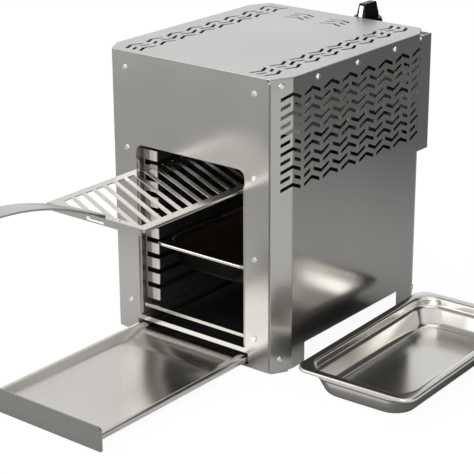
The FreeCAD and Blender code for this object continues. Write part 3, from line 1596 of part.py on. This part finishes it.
make_fasteners("lid_screws", [(side * HALF, z.lid_screw_front + z.lid_screw_pitch * row,
                               z.lid_screw_height, Vector(side, 0, 0))
                              for side in (1, -1) for row in range(3)],
               z.screw_head_radius, z.screw_head_height)
make_fasteners("corner_screws", chamfer_places(z.lid_screw_height, 0.5), z.screw_head_radius,
               z.screw_head_height)
make_fasteners("foot_screws", chamfer_places(z.foot_screw_height, 0.5), z.screw_head_radius,
               z.screw_head_height)
make_fasteners("rear_box_screws", [(x, HOUSING_REAR + z.sheet, z.rear_box_bottom - z.rear_box_flange / 2,
                                    Vector(0, 1, 0)) for x in (-z.rear_box_width / 3, z.rear_box_width / 3)],
               z.screw_head_radius, z.screw_head_height)
make_fasteners("socket_rivets", [(side * z.socket_stud, z.grate_front + z.grate_front_margin / 2,
                                  z.grate_top, Vector(0, 0, 1)) for side in (1, -1)],
               z.rivet_radius, z.rivet_height)

doc.recompute()
faults = [item.Name for item in doc.Objects if "Invalid" in item.State or "Error" in item.State]
for feature in CUTS:
    base = feature.BaseFeature if hasattr(feature, "BaseFeature") else None
    if base is not None and feature.Shape.Volume >= base.Shape.Volume - 0.01:
        faults.append(feature.Name + " cuts nothing")
for part in PARTS:
    if part.Shape.isNull() or not part.Shape.isValid():
        faults.append(part.Label + " is not a valid solid")
if faults:
    raise SystemExit("Not written: " + ", ".join(faults))

os.makedirs("parts", exist_ok=True)
for part in PARTS:
    part.Shape.exportStep(os.path.join("parts", part.Label + ".step"))
print("%d pieces" % len(PARTS))
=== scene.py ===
import math

import bpy
import numpy as np
from mathutils import Euler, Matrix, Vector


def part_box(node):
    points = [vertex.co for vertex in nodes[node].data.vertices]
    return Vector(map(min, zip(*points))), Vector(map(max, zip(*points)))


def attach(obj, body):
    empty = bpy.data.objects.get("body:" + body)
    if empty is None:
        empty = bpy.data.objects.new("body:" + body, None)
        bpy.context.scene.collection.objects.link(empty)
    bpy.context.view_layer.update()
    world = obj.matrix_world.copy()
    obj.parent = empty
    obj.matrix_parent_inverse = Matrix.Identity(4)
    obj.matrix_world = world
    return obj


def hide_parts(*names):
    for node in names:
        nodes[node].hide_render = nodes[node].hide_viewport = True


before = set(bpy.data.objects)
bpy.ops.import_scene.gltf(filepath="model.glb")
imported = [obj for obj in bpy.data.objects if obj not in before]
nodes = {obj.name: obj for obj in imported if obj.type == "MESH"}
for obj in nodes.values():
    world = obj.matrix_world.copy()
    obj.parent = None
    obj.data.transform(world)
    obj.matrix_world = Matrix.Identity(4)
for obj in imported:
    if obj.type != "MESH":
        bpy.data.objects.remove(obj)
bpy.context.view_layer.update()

mm = 0.001


# The view: the grill is seen from its front right and a little above, through a long lens. Its
# place, turn and lens were solved from the housing's straight edges.
camera_place = (1.33499, -1.5644, 0.94271)
camera_turn = (69.3197, 0.2593, 38.6036)
camera_lens = 122.916
camera = bpy.data.objects.new("camera", bpy.data.cameras.new("camera"))
camera.location = camera_place
camera.rotation_euler = Euler([math.radians(angle) for angle in camera_turn])
camera.data.lens = camera_lens
camera.data.sensor_width = 36.0
camera.data.clip_end = 20.0
bpy.context.scene.collection.objects.link(camera)
bpy.context.scene.camera = camera
bpy.context.scene.view_settings.view_transform = "Standard"


# The room: a white sky to the eye. Metal mirrors a softer one, which is dark at the right behind
# the grill. There are three soft lamps, one above and two in front.
def add_nodes(tree, *kinds):
    """New shader nodes of a node tree, one for each kind."""
    return [tree.nodes.new("ShaderNode" + kind) for kind in kinds]


def join(tree, *pairs):
    """Links each (output, input) pair of a node tree."""
    for source, target in pairs:
        tree.links.new(source, target)


def calculate(tree, operation, *values):
    """A Math node; each value is a number or another node's output."""
    node, = add_nodes(tree, "Math")
    node.operation = operation
    for socket, value in zip(node.inputs, values):
        if isinstance(value, (int, float)):
            socket.default_value = value
        else:
            tree.links.new(value, socket)
    return node.outputs[0]


def shade(tree, value, *stops):
    """A colour by a value, straight between (value, colour) stops; a number stands for a grey."""
    first, span = stops[0][0], stops[-1][0] - stops[0][0]
    node, = add_nodes(tree, "ValToRGB")
    elements = node.color_ramp.elements
    while len(elements) < len(stops):
        elements.new(0.5)
    for element, (place, colour) in zip(elements, stops):
        element.position = (place - first) / span
        element.color = (*colour, 1) if isinstance(colour, tuple) else (colour, colour, colour, 1)
    tree.links.new(calculate(tree, "MULTIPLY_ADD", value, 1 / span, -first / span), node.inputs[0])
    return node.outputs["Color"]


def axes_of(tree, coordinates="Object"):
    """The X, Y and Z outputs of a shaded point's place, or of a direction in the world's tree."""
    place, split = add_nodes(tree, "TexCoord", "SeparateXYZ")
    tree.links.new(place.outputs[coordinates], split.inputs[0])
    return split.outputs


def studio_world():
    """World colour by direction: sky(z) (1 - rear(y) right(x)), brightest at the horizon."""
    world = bpy.data.worlds.new("studio")
    world.use_nodes = True
    tree = world.node_tree
    tree.nodes.clear()
    toward = axes_of(tree, "Generated")
    sky = shade(tree, toward["Z"], (0.08, 1.0), (0.35, 0.95), (1.0, 0.50))
    rear = shade(tree, toward["Y"], (0.0, 0.0), (0.3, 1.0))
    right = shade(tree, toward["X"], (-0.53, 0.0), (-0.39, 0.3), (-0.10, 0.6), (0.20, 0.93))
    lit_part = calculate(tree, "SUBTRACT", 1.0, calculate(tree, "MULTIPLY", rear, right))
    out, seen, lit, path, mix = add_nodes(tree, "OutputWorld", "Background", "Background", "LightPath",
                                          "MixShader")
    seen.inputs["Color"].default_value = (1, 1, 1, 1)
    join(tree, (calculate(tree, "MULTIPLY", sky, lit_part), lit.inputs["Color"]),
         (path.outputs["Is Camera Ray"], mix.inputs[0]), (lit.outputs[0], mix.inputs[1]),
         (seen.outputs[0], mix.inputs[2]), (mix.outputs[0], out.inputs[0]))
    bpy.context.scene.world = world


def soft_lamp(name, place, target, width, height, radiance):
    """A soft rectangular lamp of the given radiance that points from its place to a target."""
    lamp = bpy.data.lights.new(name, "AREA")
    lamp.shape = "RECTANGLE"
    lamp.size, lamp.size_y = width, height
    lamp.energy = radiance * math.pi * width * height
    holder = bpy.data.objects.new(name, lamp)
    holder.location = place
    ahead = np.array(target, float) - np.array(place, float)
    flat = math.hypot(ahead[0], ahead[1])
    holder.rotation_euler = (math.atan2(flat, -ahead[2]), 0, math.atan2(ahead[1], ahead[0]) - math.pi / 2)
    bpy.context.scene.collection.objects.link(holder)


studio_world()
soft_lamp("lamp_above", (-0.2, 0.5, 2.3), (0, 0.1, 0.2), 2.4, 2.4, 0.8)
soft_lamp("lamp_left", (-1.9, -2.3, 0.75), (0.2, 0.2, 0.1), 1.8, 1.4, 1.9)
soft_lamp("lamp_front", (1.4, -2.2, 0.6), (0, 0, 0.15), 1.8, 1.1, 2.1)


# The floor is a white sheet that keeps a faint shadow. Below the open chamber it is painted dark
# as shade. Metal mirrors it greyer by painted shade, the more so behind the grill, and it mirrors a
# painted shadow under the loose pan.
floor_reach = 3.0
floor_level = -0.4 * mm
chamber_shade_box = ((-118 * mm, 10 * mm), (97 * mm, 345 * mm))


def reach(tree, place, low, high):
    """The larger of |2 (p - middle) / size| over X and Y, which is 1 on a rectangle's edge."""
    return calculate(tree, "MAXIMUM", *(
        calculate(tree, "ABSOLUTE", calculate(tree, "MULTIPLY_ADD", place[axis], 2 / (end - start),
                                              -(end + start) / (end - start)))
        for axis, start, end in zip("XY", low, high)))


def floor_paint():
    """White and glowing faintly to the eye, but painted dark as shade below the chamber.

    Metal mirrors it as a grey by its depth y, painted shade, with a painted shadow under the pan.
    """
    paint = bpy.data.materials.new("floor_white")
    paint.use_nodes = True
    tree = paint.node_tree
    tree.nodes.clear()
    place = axes_of(tree)
    # Painted shade: inside the box under the chamber the floor is near black and does not glow.
    outside = calculate(tree, "GREATER_THAN", reach(tree, place, *chamber_shade_box), 1.0)
    # Painted shade seen only in metal: the floor mirrors greyer by its depth y.
    grey = shade(tree, place["Y"], (-0.76, 0.60), (-0.40, 0.66), (-0.16, 1.0), (0.04, 0.95),
                 (0.24, 0.68), (0.60, 0.52), (1.0, 0.26))
    # Painted shadow seen only in metal: a dark patch under the loose pan.
    pan_painted_shadow = shade(tree, reach(tree, place, *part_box("pan_loose")), (0.86, 0.30), (0.904, 0.40),
                      (0.92, 1.0))
    out, path, matte, mirrored, glow, first, second = add_nodes(
        tree, "OutputMaterial", "LightPath", "BsdfDiffuse", "BsdfDiffuse", "Emission", "MixShader",
        "MixShader")
    glow.inputs["Strength"].default_value = 1.05
    glow_share = calculate(tree, "MULTIPLY", path.outputs["Is Camera Ray"], 0.9)
    join(tree, (shade(tree, outside, (0.0, 0.03), (1.0, 0.9)), matte.inputs["Color"]),
         (calculate(tree, "MULTIPLY", grey, pan_painted_shadow), mirrored.inputs["Color"]),
         (path.outputs["Is Glossy Ray"], first.inputs[0]), (matte.outputs[0], first.inputs[1]),
         (mirrored.outputs[0], first.inputs[2]),
         (calculate(tree, "MULTIPLY", glow_share, outside), second.inputs[0]),
         (first.outputs[0], second.inputs[1]), (glow.outputs[0], second.inputs[2]),
         (second.outputs[0], out.inputs[0]))
    return paint


floor_mesh = bpy.data.meshes.new("floor")
floor_mesh.from_pydata([(x * floor_reach, y * floor_reach, floor_level)
                        for x, y in ((-1, -1), (1, -1), (1, 1), (-1, 1))], [], [(0, 1, 2, 3)])
floor_mesh.materials.append(floor_paint())
floor = bpy.data.objects.new("floor", floor_mesh)
bpy.context.scene.collection.objects.link(floor)


# The housing is folded from satin stainless sheet with a fine straight grain. Its mantle has the
# grain upright, the front panel has it across, and the lid from front to rear.
upright_grain = (1500, 1500, 30)
crosswise_grain = (30, 1500, 1500)
lengthwise_grain = (1500, 30, 1500)
cloud_scale = (7, 7, 7)
smear_scale = (11, 11, 11)
smear = 0.02


def noise_of(tree, scale, detail=2.0):
    """Noise of the object's own coordinates, with a scale for each axis."""
    place, mapping, noise = add_nodes(tree, "TexCoord", "Mapping", "TexNoise")
    mapping.inputs["Scale"].default_value = scale
    noise.inputs["Scale"].default_value = 1.0
    noise.inputs["Detail"].default_value = detail
    join(tree, (place.outputs["Object"], mapping.inputs["Vector"]),
         (mapping.outputs[0], noise.inputs["Vector"]))
    return noise.outputs["Fac"]


def shader_of(material):
    """A material's node tree and the sockets of its shader."""
    return material.node_tree, material.node_tree.nodes["Principled BSDF"].inputs


def metal_sheet(name, colour, rough, grain, cloud=0.03, depth=0.02, metal=1.0):
    """A surface with clouds in its colour and roughness, and a fine grain in its relief."""
    made = bpy.data.materials.new(name)
    made.use_nodes = True
    tree, surface = shader_of(made)
    surface["Metallic"].default_value = metal
    dark, light = (tuple(min(1.0, value * (1 + change)) for value in colour)
                   for change in (-cloud, cloud))
    bump, = add_nodes(tree, "Bump")
    bump.inputs["Strength"].default_value = depth
    bump.inputs["Distance"].default_value = 0.2 * mm
    join(tree, (shade(tree, noise_of(tree, cloud_scale), (0.3, dark), (0.7, light)),
                surface["Base Color"]),
         (shade(tree, noise_of(tree, smear_scale), (0.3, rough - smear), (0.7, rough + smear)),
          surface["Roughness"]),
         (noise_of(tree, grain, 3.0), bump.inputs["Height"]), (bump.outputs[0], surface["Normal"]))
    return made


def crease_by(piece, angle):
    """Splits the shading at edges sharper than the angle, in degrees."""
    crease = piece.modifiers.new("crease", "EDGE_SPLIT")
    crease.split_angle = math.radians(angle)


def dress(node, material, edge=0):
    """Gives a CAD node its material, and breaks its sharp edges by a round of that many mm."""
    piece = nodes[node]
    piece.data.materials.clear()
    piece.data.materials.append(material)
    piece.data.polygons.foreach_set("use_smooth", np.ones(len(piece.data.polygons), bool))
    weld = piece.modifiers.new("weld", "WELD")
    weld.merge_threshold = 0.005 * mm
    if not edge:
        crease_by(piece, 35)
        return
    bevel = piece.modifiers.new("edge", "BEVEL")
    bevel.width = edge * mm
    bevel.segments = 2
    bevel.limit_method = "ANGLE"
    bevel.angle_limit = math.radians(40)
    flat = piece.modifiers.new("flat", "WEIGHTED_NORMAL")
    flat.keep_sharp = False


housing_colour = (0.52, 0.51, 0.49)
housing_steel = metal_sheet("housing_steel", housing_colour, 0.17, upright_grain)
panel_steel = metal_sheet("panel_steel", housing_colour, 0.20, crosswise_grain)
lid_steel = metal_sheet("lid_steel", (0.60, 0.60, 0.59), 0.34, lengthwise_grain, metal=0.6)
dress("mantle", housing_steel, 0.2)
dress("front_panel", panel_steel, 0.5)
dress("lid", lid_steel, 0.5)
for node in ("rear_box", "foot_front_left", "foot_front_right", "foot_rear_left", "foot_rear_right"):
    dress(node, housing_steel)


# The chamber's walls are bright only right behind the front panel and on the side that faces the
# vents. Farther in, they are painted black as shade, and so are the shield above the burner and
# the tray's runners.
half_chamber = 101.4 * mm
chamber_bright = 10 * mm
chamber_fade = 25 * mm
rolled_grain = (40, 300, 300)


def shade_blackened_steel(name, colour, black, front, fade, metal=1.0):
    """Steel painted black as shade inside |x| = half_chamber, over the length fade behind y = front.

    The border wanders by 0.8 of fade with a noise.
    """
    wander = 0.8
    made = metal_sheet(name, colour, 0.40, rolled_grain, metal=metal)
    tree, surface = shader_of(made)
    place = axes_of(tree)
    blotch = calculate(tree, "MULTIPLY_ADD", noise_of(tree, (30, 30, 30), 4.0), wander * fade,
                       place["Y"])
    start = front + wander * fade / 2
    inside = calculate(tree, "LESS_THAN", calculate(tree, "ABSOLUTE", place["X"]), half_chamber)
    # Painted shade: black inside the chamber, behind y = front.
    painted_shade = calculate(tree, "MULTIPLY", shade(tree, blotch, (start, 0.0), (start + fade, 1.0)), inside)
    join(tree, (shade(tree, painted_shade, (0.0, colour), (1.0, black)), surface["Base Color"]),
         (shade(tree, painted_shade, (0.0, 0.35), (1.0, 0.55)), surface["Roughness"]))
    return made


chamber_steel = shade_blackened_steel("chamber_steel", (0.42, 0.40, 0.37), (0.10, 0.09, 0.077), chamber_bright,
                            chamber_fade)
for node in ("chamber_shell", "rear_spacers", "baffle_plate", "heat_shield", "tray_runner_left",
             "tray_runner_right"):
    dress(node, chamber_steel)


# The rack guides are bright cold-rolled sheet, folded to a box along each chamber wall and cut by
# nine slots. Their fronts stay bright, with painted shade along the outer half, and their webs are
# painted black as shade.
guide_bright = 22.5 * mm
guide_fade = 2 * mm
shaded_half = 90 * mm


def tint_outside(material, start, colour):
    """Multiplies a material's colour by another one beyond |x| = start, over 2 mm."""
    tree, surface = shader_of(material)
    across = calculate(tree, "ABSOLUTE", axes_of(tree)["X"])
    tint, = add_nodes(tree, "Mix")
    tint.data_type = "RGBA"
    tint.blend_type = "MULTIPLY"
    tint.inputs["Factor"].default_value = 1.0
    join(tree, (surface["Base Color"].links[0].from_socket, tint.inputs["A"]),
         (shade(tree, across, (start - mm, (1, 1, 1)), (start + mm, colour)), tint.inputs["B"]),
         (tint.outputs["Result"], surface["Base Color"]))


rack_steel = shade_blackened_steel("rack_steel", (0.95, 0.93, 0.89), (0.012, 0.011, 0.010), guide_bright,
                         guide_fade, metal=0.1)
# Painted shade: the outer half of each guide's front is darkened to a grey.
tint_outside(rack_steel, shaded_half, (0.42, 0.40, 0.37))
for node in ("rack_guide_left", "rack_guide_right"):
    dress(node, rack_steel, 0.2)


# The cross bar is an angle across the chamber's front, above the drawer. It is folded from satin
# sheet with its grain across, and stays clean.
bar_steel = metal_sheet("bar_steel", (0.50, 0.485, 0.46), 0.26, crosswise_grain)
dress("front_cross_bar", bar_steel, 0.4)


# The burner's sheet parts are aluminised steel, dulled by the heat: the housing and its frame, the
# channels that it hangs from, the mixing tube, and the angle that carries probe and spark rod.
burner_steel = metal_sheet("burner_steel", (0.42, 0.41, 0.39), 0.42, rolled_grain, cloud=0.2)
for node in ("burner_housing", "burner_frame", "burner_bar_front", "burner_bar_rear",
             "probe_bracket", "mixing_tube", "flame_probe", "spark_electrode"):
    dress(node, burner_steel)


# The burner's two tiles are porous cream ceramic, pressed with rows of fine holes. The gas burns
# at the holes and makes their lower faces glow.
hole_pitch = 3.2 * mm
cream = (0.72, 0.64, 0.52)


def pierced_ceramic():
    """Holes where sin(2 pi x / pitch) sin(2 pi y / pitch) is high, painted dark as their shade."""
    made = metal_sheet("pierced_ceramic", cream, 0.85, (300, 300, 300), metal=0.0)
    tree, surface = shader_of(made)
    place = axes_of(tree)
    waves = [calculate(tree, "SINE", calculate(tree, "MULTIPLY", place[axis], 2 * math.pi / hole_pitch))
             for axis in "XY"]
    holes = shade(tree, calculate(tree, "MULTIPLY", *waves), (0.3, 0.0), (0.5, 1.0))
    bump, = add_nodes(tree, "Bump")
    bump.inputs["Strength"].default_value = 0.6
    bump.inputs["Distance"].default_value = -1.0 * mm
    # Painted shade: the holes' insides are dark brown, with a bump to press them in.
    join(tree, (shade(tree, holes, (0.0, cream), (1.0, (0.10, 0.07, 0.05))), surface["Base Color"]),
         (holes, bump.inputs["Height"]), (bump.outputs[0], surface["Normal"]))
    return made


dress("ceramic_tiles", pierced_ceramic())


# The tiles sit in a seal of woven ceramic fibre. The spark rod has a sleeve of glazed ceramic and
# a lead in red silicone, which ends at a black moulded spark module.
even_grain = (400, 400, 400)
dress("tile_gasket", metal_sheet("gasket_fibre", (0.82, 0.80, 0.75), 0.9, even_grain, 0.1, 0.5, 0.0))
dress("electrode_insulator", metal_sheet("glazed", (0.86, 0.84, 0.80), 0.2, even_grain, metal=0.0))
dress("spark_lead", metal_sheet("silicone_sleeve", (0.45, 0.06, 0.03), 0.5, even_grain, metal=0.0))
dress("spark_module", metal_sheet("module_plastic", (0.03, 0.03, 0.03), 0.5, even_grain, metal=0.0),
      0.6)


# The gas train behind the housing: turned brass fittings and spindle, a die-cast tap, and drawn
# pipes in the same grey, as is the flame probe's thin lead.
brass = metal_sheet("machined_brass", (0.72, 0.52, 0.25), 0.28, even_grain)
for node in ("gas_jet", "jet_holder", "pipe_nuts", "inlet_fitting", "valve_nut", "valve_spindle",
             "valve_push_pin"):
    dress(node, brass)
cast_metal = metal_sheet("cast_metal", (0.58, 0.58, 0.57), 0.4, even_grain, 0.1, 0.2)
for node in ("valve_body", "gas_pipe", "supply_pipe", "probe_lead"):
    dress(node, cast_metal)


# The pans are one-third gastronorm trays, drawn from thin bright sheet: a rim with its edge
# turned down, an upright band that stacked pans rest on, a step, and walls that lean in. Below its
# rim the inserted one turns to a brown baked film that is also painted shade, and it is painted
# black as shade at its front.
pan_half = (88.0, 162.5)
pan_gauge = 0.8
pan_colour = (0.78, 0.76, 0.72)
pan_shine = 0.17
pan_finish = (pan_colour, pan_shine, (60, 60, 60), 0.02, 0.0)
pan_insets = (0, 2.6, 11.8, 60)
pan_corners = (20, 17.4, 30, 24)
loose_turn = 1.9
stain_and_shade_drop = 6 * mm
stain_and_shade_fade = 4 * mm
shade_black_end = 20 * mm
brown_start = 50 * mm


def rounded_line(points, radii, steps=5):
    """A polyline with each inner corner replaced by a parabola.

    From corner c, with unit vectors a and b to its neighbours, the curve for t in 0..1 is
    c + r a (1 - t)^2 + r b t^2.
    """
    points = np.array(points, float)
    line = [points[:1]]
    along = np.linspace(0, 1, steps)[:, None]
    for before, corner, after, radius in zip(points, points[1:], points[2:], radii):
        back, on = before - corner, after - corner
        back, on = back / np.linalg.norm(back), on / np.linalg.norm(on)
        line.append(corner + radius * (back * (1 - along) ** 2 + on * along ** 2))
    line.append(points[-1:])
    return np.concatenate(line)


def rounded_ring(left, right, front, rear, corner, steps=10, between=0):
    """A rectangle with round corners, anticlockwise: quarter circles about each corner's centre.

    Each straight side is split by that many more points.
    """
    quarter = np.linspace(0, math.pi / 2, steps)
    arcs = []
    for turn, x, y in ((0, right, rear), (1, left, rear), (2, left, front), (3, right, front)):
        angle = quarter + turn * math.pi / 2
        inward_x, inward_y = (-1 if x == right else 1), (-1 if y == rear else 1)
        arcs.append(np.column_stack([x + inward_x * corner + corner * np.cos(angle),
                                     y + inward_y * corner + corner * np.sin(angle)]))
    along = np.linspace(0, 1, between + 2)[1:-1, None]
    sides = [arc[-1] + (following[0] - arc[-1]) * along
             for arc, following in zip(arcs, arcs[1:] + arcs[:1])]
    return np.concatenate([points for pair in zip(arcs, sides) for points in pair])


def ring_skin(name, rings, first_cap=True):
    """A mesh object from rings of equal length, in metres: quads between them, polygons at the ends."""
    count, around = len(rings), len(rings[0])
    start = np.arange(count - 1)[:, None] * around
    here = np.arange(around)[None, :]
    after = (here + 1) % around
    quads = np.stack([start + here, start + after, start + around + after, start + around + here], -1)
    faces = [tuple(quad) for quad in quads.reshape(-1, 4).tolist()]
    if first_cap:
        faces.append(tuple(range(around - 1, -1, -1)))
    faces.append(tuple(range((count - 1) * around, count * around)))
    mesh = bpy.data.meshes.new(name)
    mesh.from_pydata(np.concatenate(rings).tolist(), [], faces)
    mesh.polygons.foreach_set("use_smooth", np.ones(len(mesh.polygons), bool))
    piece = bpy.data.objects.new(name, mesh)
    bpy.context.scene.collection.objects.link(piece)
    return piece


def finish_piece(piece, material, body, slot, *replaced):
    """Gives a new piece its material and its body, and hides the CAD nodes it stands for; the slot is not
    used.
    """
    crease_by(piece, 50)
    piece.data.materials.append(material)
    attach(piece, body)
    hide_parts(*replaced)


def pan_profile():
    """The sheet's section as (inset from the rim, height) in mm: up the inside and down the outside."""
    inner = [(60, pan_gauge), (24.8, pan_gauge), (15.3, 25), (12.6, 27.5), (12.6, 40), (0, 40),
             (0, 35.4), (2.6, 35.4)]
    outer = [(2.6, 39.2), (11.8, 39.2), (11.8, 27), (14.6, 24.3), (24, 0), (60, 0)]
    rounds = [7, 1.9, 1.7, 4.0, 2.0, 0.8, 0.8, 0.8, 2.0, 1.5, 2.0, 6]
    return rounded_line(inner + outer, rounds)


def stain_and_shade_steel(top, front):
    """The pan's steel below z = top turns to a brown film, part baked stain and part painted shade,
    and to painted black shade where y is near the front.
    """
    made = metal_sheet("stain_and_shade_steel", *pan_finish)
    tree, surface = shader_of(made)
    place = axes_of(tree)
    # Painted shade: black near the front, and a brown film, part stain, farther back.
    film = shade(tree, place["Y"], (front + shade_black_end, (0.012, 0.010, 0.009)),
                 (front + brown_start, (0.30, 0.24, 0.19)))
    stain, = add_nodes(tree, "Mix")
    stain.data_type = "RGBA"
    stain.inputs["A"].default_value = (*pan_colour, 1)
    join(tree, (shade(tree, place["Z"], (top, 0.0), (top - stain_and_shade_fade, 1.0)), stain.inputs["Factor"]),
         (film, stain.inputs["B"]), (stain.outputs["Result"], surface["Base Color"]),
         (shade(tree, place["Z"], (top, pan_shine), (top - stain_and_shade_fade, 0.40)), surface["Roughness"]))
    return made


def make_pan(node, material, angle=0):
    """A pan skin in its node's place, turned by an angle in degrees about its middle."""
    low, high = (np.array(corner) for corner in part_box(node))
    middle = (low + high) / 2
    turn = math.radians(angle)
    rings = []
    for inset, height in pan_profile():
        corner = float(np.interp(inset, pan_insets, pan_corners))
        flat = rounded_ring(inset - pan_half[0], pan_half[0] - inset, inset - pan_half[1],
                            pan_half[1] - inset, corner) * mm
        x = middle[0] + flat[:, 0] * math.cos(turn) - flat[:, 1] * math.sin(turn)
        y = middle[1] + flat[:, 0] * math.sin(turn) + flat[:, 1] * math.cos(turn)
        rings.append(np.column_stack([x, y, np.full(len(x), low[2] + height * mm)]))
    finish_piece(ring_skin(node + "_skin", rings[::-1]), material, node, "pan_steel", node)


make_pan("pan_loose", metal_sheet("pan_steel", *pan_finish), loose_turn)
inside_low, inside_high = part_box("pan_inside")
make_pan("pan_inside", stain_and_shade_steel(inside_high[2] - stain_and_shade_drop, inside_low[1]))


# The drip tray is pressed from one sheet: a rim with a skirt that slides on the runners, a shallow
# tub, and a rear that slopes up to a low lip, so that fat stays in as it is pulled out.
tray_low, tray_high = (np.array(corner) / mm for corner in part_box("drip_tray"))
tray_gauge = 0.8
tray_floor, tray_rim = tray_low[2] + tray_gauge, tray_high[2]
skirt_foot = tray_low[2] + 2.9
side_insets = (0, 7, 15.5, 60)
front_insets = (0, 3.5, 12, 56)
rear_insets = (0, 14, 52, 96)
corner_radii = (2.5, 10, 12, 8)
lip_start, lip_slope, lip_drop = tray_high[1] - 30, 12, 3
lip_half, lip_end = 82, 3
drawer_shine = 0.22
drawer_steel = metal_sheet("drawer_steel", (0.66, 0.64, 0.60), drawer_shine, lengthwise_grain)


def dull_sides(material, *places):
    """Turns a metal dull between the middle two of four |x| places, in mm, where it was drawn."""
    tree, surface = shader_of(material)
    across = calculate(tree, "ABSOLUTE", axes_of(tree)["X"])
    for socket, bright, dull in (("Roughness", drawer_shine, 0.55), ("Metallic", 1.0, 0.3)):
        stops = [(place * mm, value) for place, value in zip(places, (bright, dull, dull, bright))]
        join(tree, (shade(tree, across, *stops), surface[socket]))


def tray_profile():
    """The section as (inset from the rim, height) in mm, from the skirt's foot to the floor."""
    outer, rim_end, floor_start, middle = side_insets
    return rounded_line([(outer, skirt_foot), (outer, tray_rim), (rim_end, tray_rim),
                         (floor_start, tray_floor), (middle, tray_floor)], [1.6, 2.0, 4.0])


def make_tray():
    """Tub rings; behind lip_start the rim between the two side rims is lowered by lip_drop."""
    side_rim = tray_high[0]
    rings = []
    for inset, height in tray_profile():
        ahead, behind, corner = (float(np.interp(inset, side_insets, values))
                                 for values in (front_insets, rear_insets, corner_radii))
        ring = rounded_ring(inset - side_rim, side_rim - inset, tray_low[1] + ahead,
                            tray_high[1] - behind, corner, between=40)
        x, y = ring[:, 0], ring[:, 1]
        between_rims = 1 - np.clip((np.abs(x) - lip_half) / lip_end, 0, 1)
        rear = np.clip((y - lip_start) / lip_slope, 0, 1)
        share = np.clip((height - tray_floor) / (tray_rim - tray_floor), 0, 1)
        level = height - lip_drop * between_rims * rear * share
        rings.append(np.column_stack([x, y, level]) * mm)
    piece = ring_skin("drip_tray_skin", rings, first_cap=False)
    sheet = piece.modifiers.new("sheet", "SOLIDIFY")
    sheet.thickness = tray_gauge * mm
    sheet.offset = -1
    finish_piece(piece, drawer_steel, "drawer", "drawer_steel", "drip_tray")


dull_sides(drawer_steel, 79.9, 84.3, 90.9, 93.1)
make_tray()


# The drawer's face is a plate across the tray's front, with round corners and broken edges. It
# closes against the front panel.
# Its grey is darker than the panel's: painted shade, a contact shadow where it closes.
drawer_face_shaded_steel = metal_sheet("drawer_face_shaded_steel", (0.35, 0.35, 0.335), 0.26, crosswise_grain)
dress("drawer_front", drawer_face_shaded_steel, 0.6)


# The grate is cut from one sheet into slanting bars, its rims folded down, with a slotted plate
# riveted below its front. The handle is a wide strip, bent to a long arch, with a tongue that
# hooks into the slot.
grate_steel = metal_sheet("grate_steel", (0.64, 0.62, 0.58), 0.20, (14, 700, 700))
handle_steel = metal_sheet("handle_steel", (0.52, 0.515, 0.50), 0.30, (700, 14, 700))
dress("grate", grate_steel, 0.4)
dress("handle_socket", grate_steel, 0.3)
dress("lifting_handle", handle_steel, 0.6)


# The knob is glossy black phenolic, a round skirt under a bar grip. A plated strip runs down the
# grip's front end, and a plated washer lies under the tap's nut.
knob_black = metal_sheet("knob_black", (0.006, 0.006, 0.007), 0.22, (60, 60, 60), 0.1, 0.02, 0.0)
shader_of(knob_black)[1]["Specular IOR Level"].default_value = 0.12
plated = metal_sheet("plated", (0.72, 0.72, 0.72), 0.22, (80, 80, 80))
dress("knob", knob_black, 0.9)
dress("knob_inlay", plated, 0.2)
dress("knob_bezel", plated, 0.2)


# The screws and rivets are bright zinc with domed heads. The front panel's screws turn into rivet
# nuts behind the sheet.
zinc = metal_sheet("bright_zinc", (0.88, 0.88, 0.86), 0.16, even_grain, 0.04, 0.03)
for node in ("panel_screws", "lid_screws", "corner_screws", "foot_screws", "rear_box_screws",
             "socket_rivets"):
    dress(node, zinc, 0.6)
dress("panel_rivet_nuts", zinc)
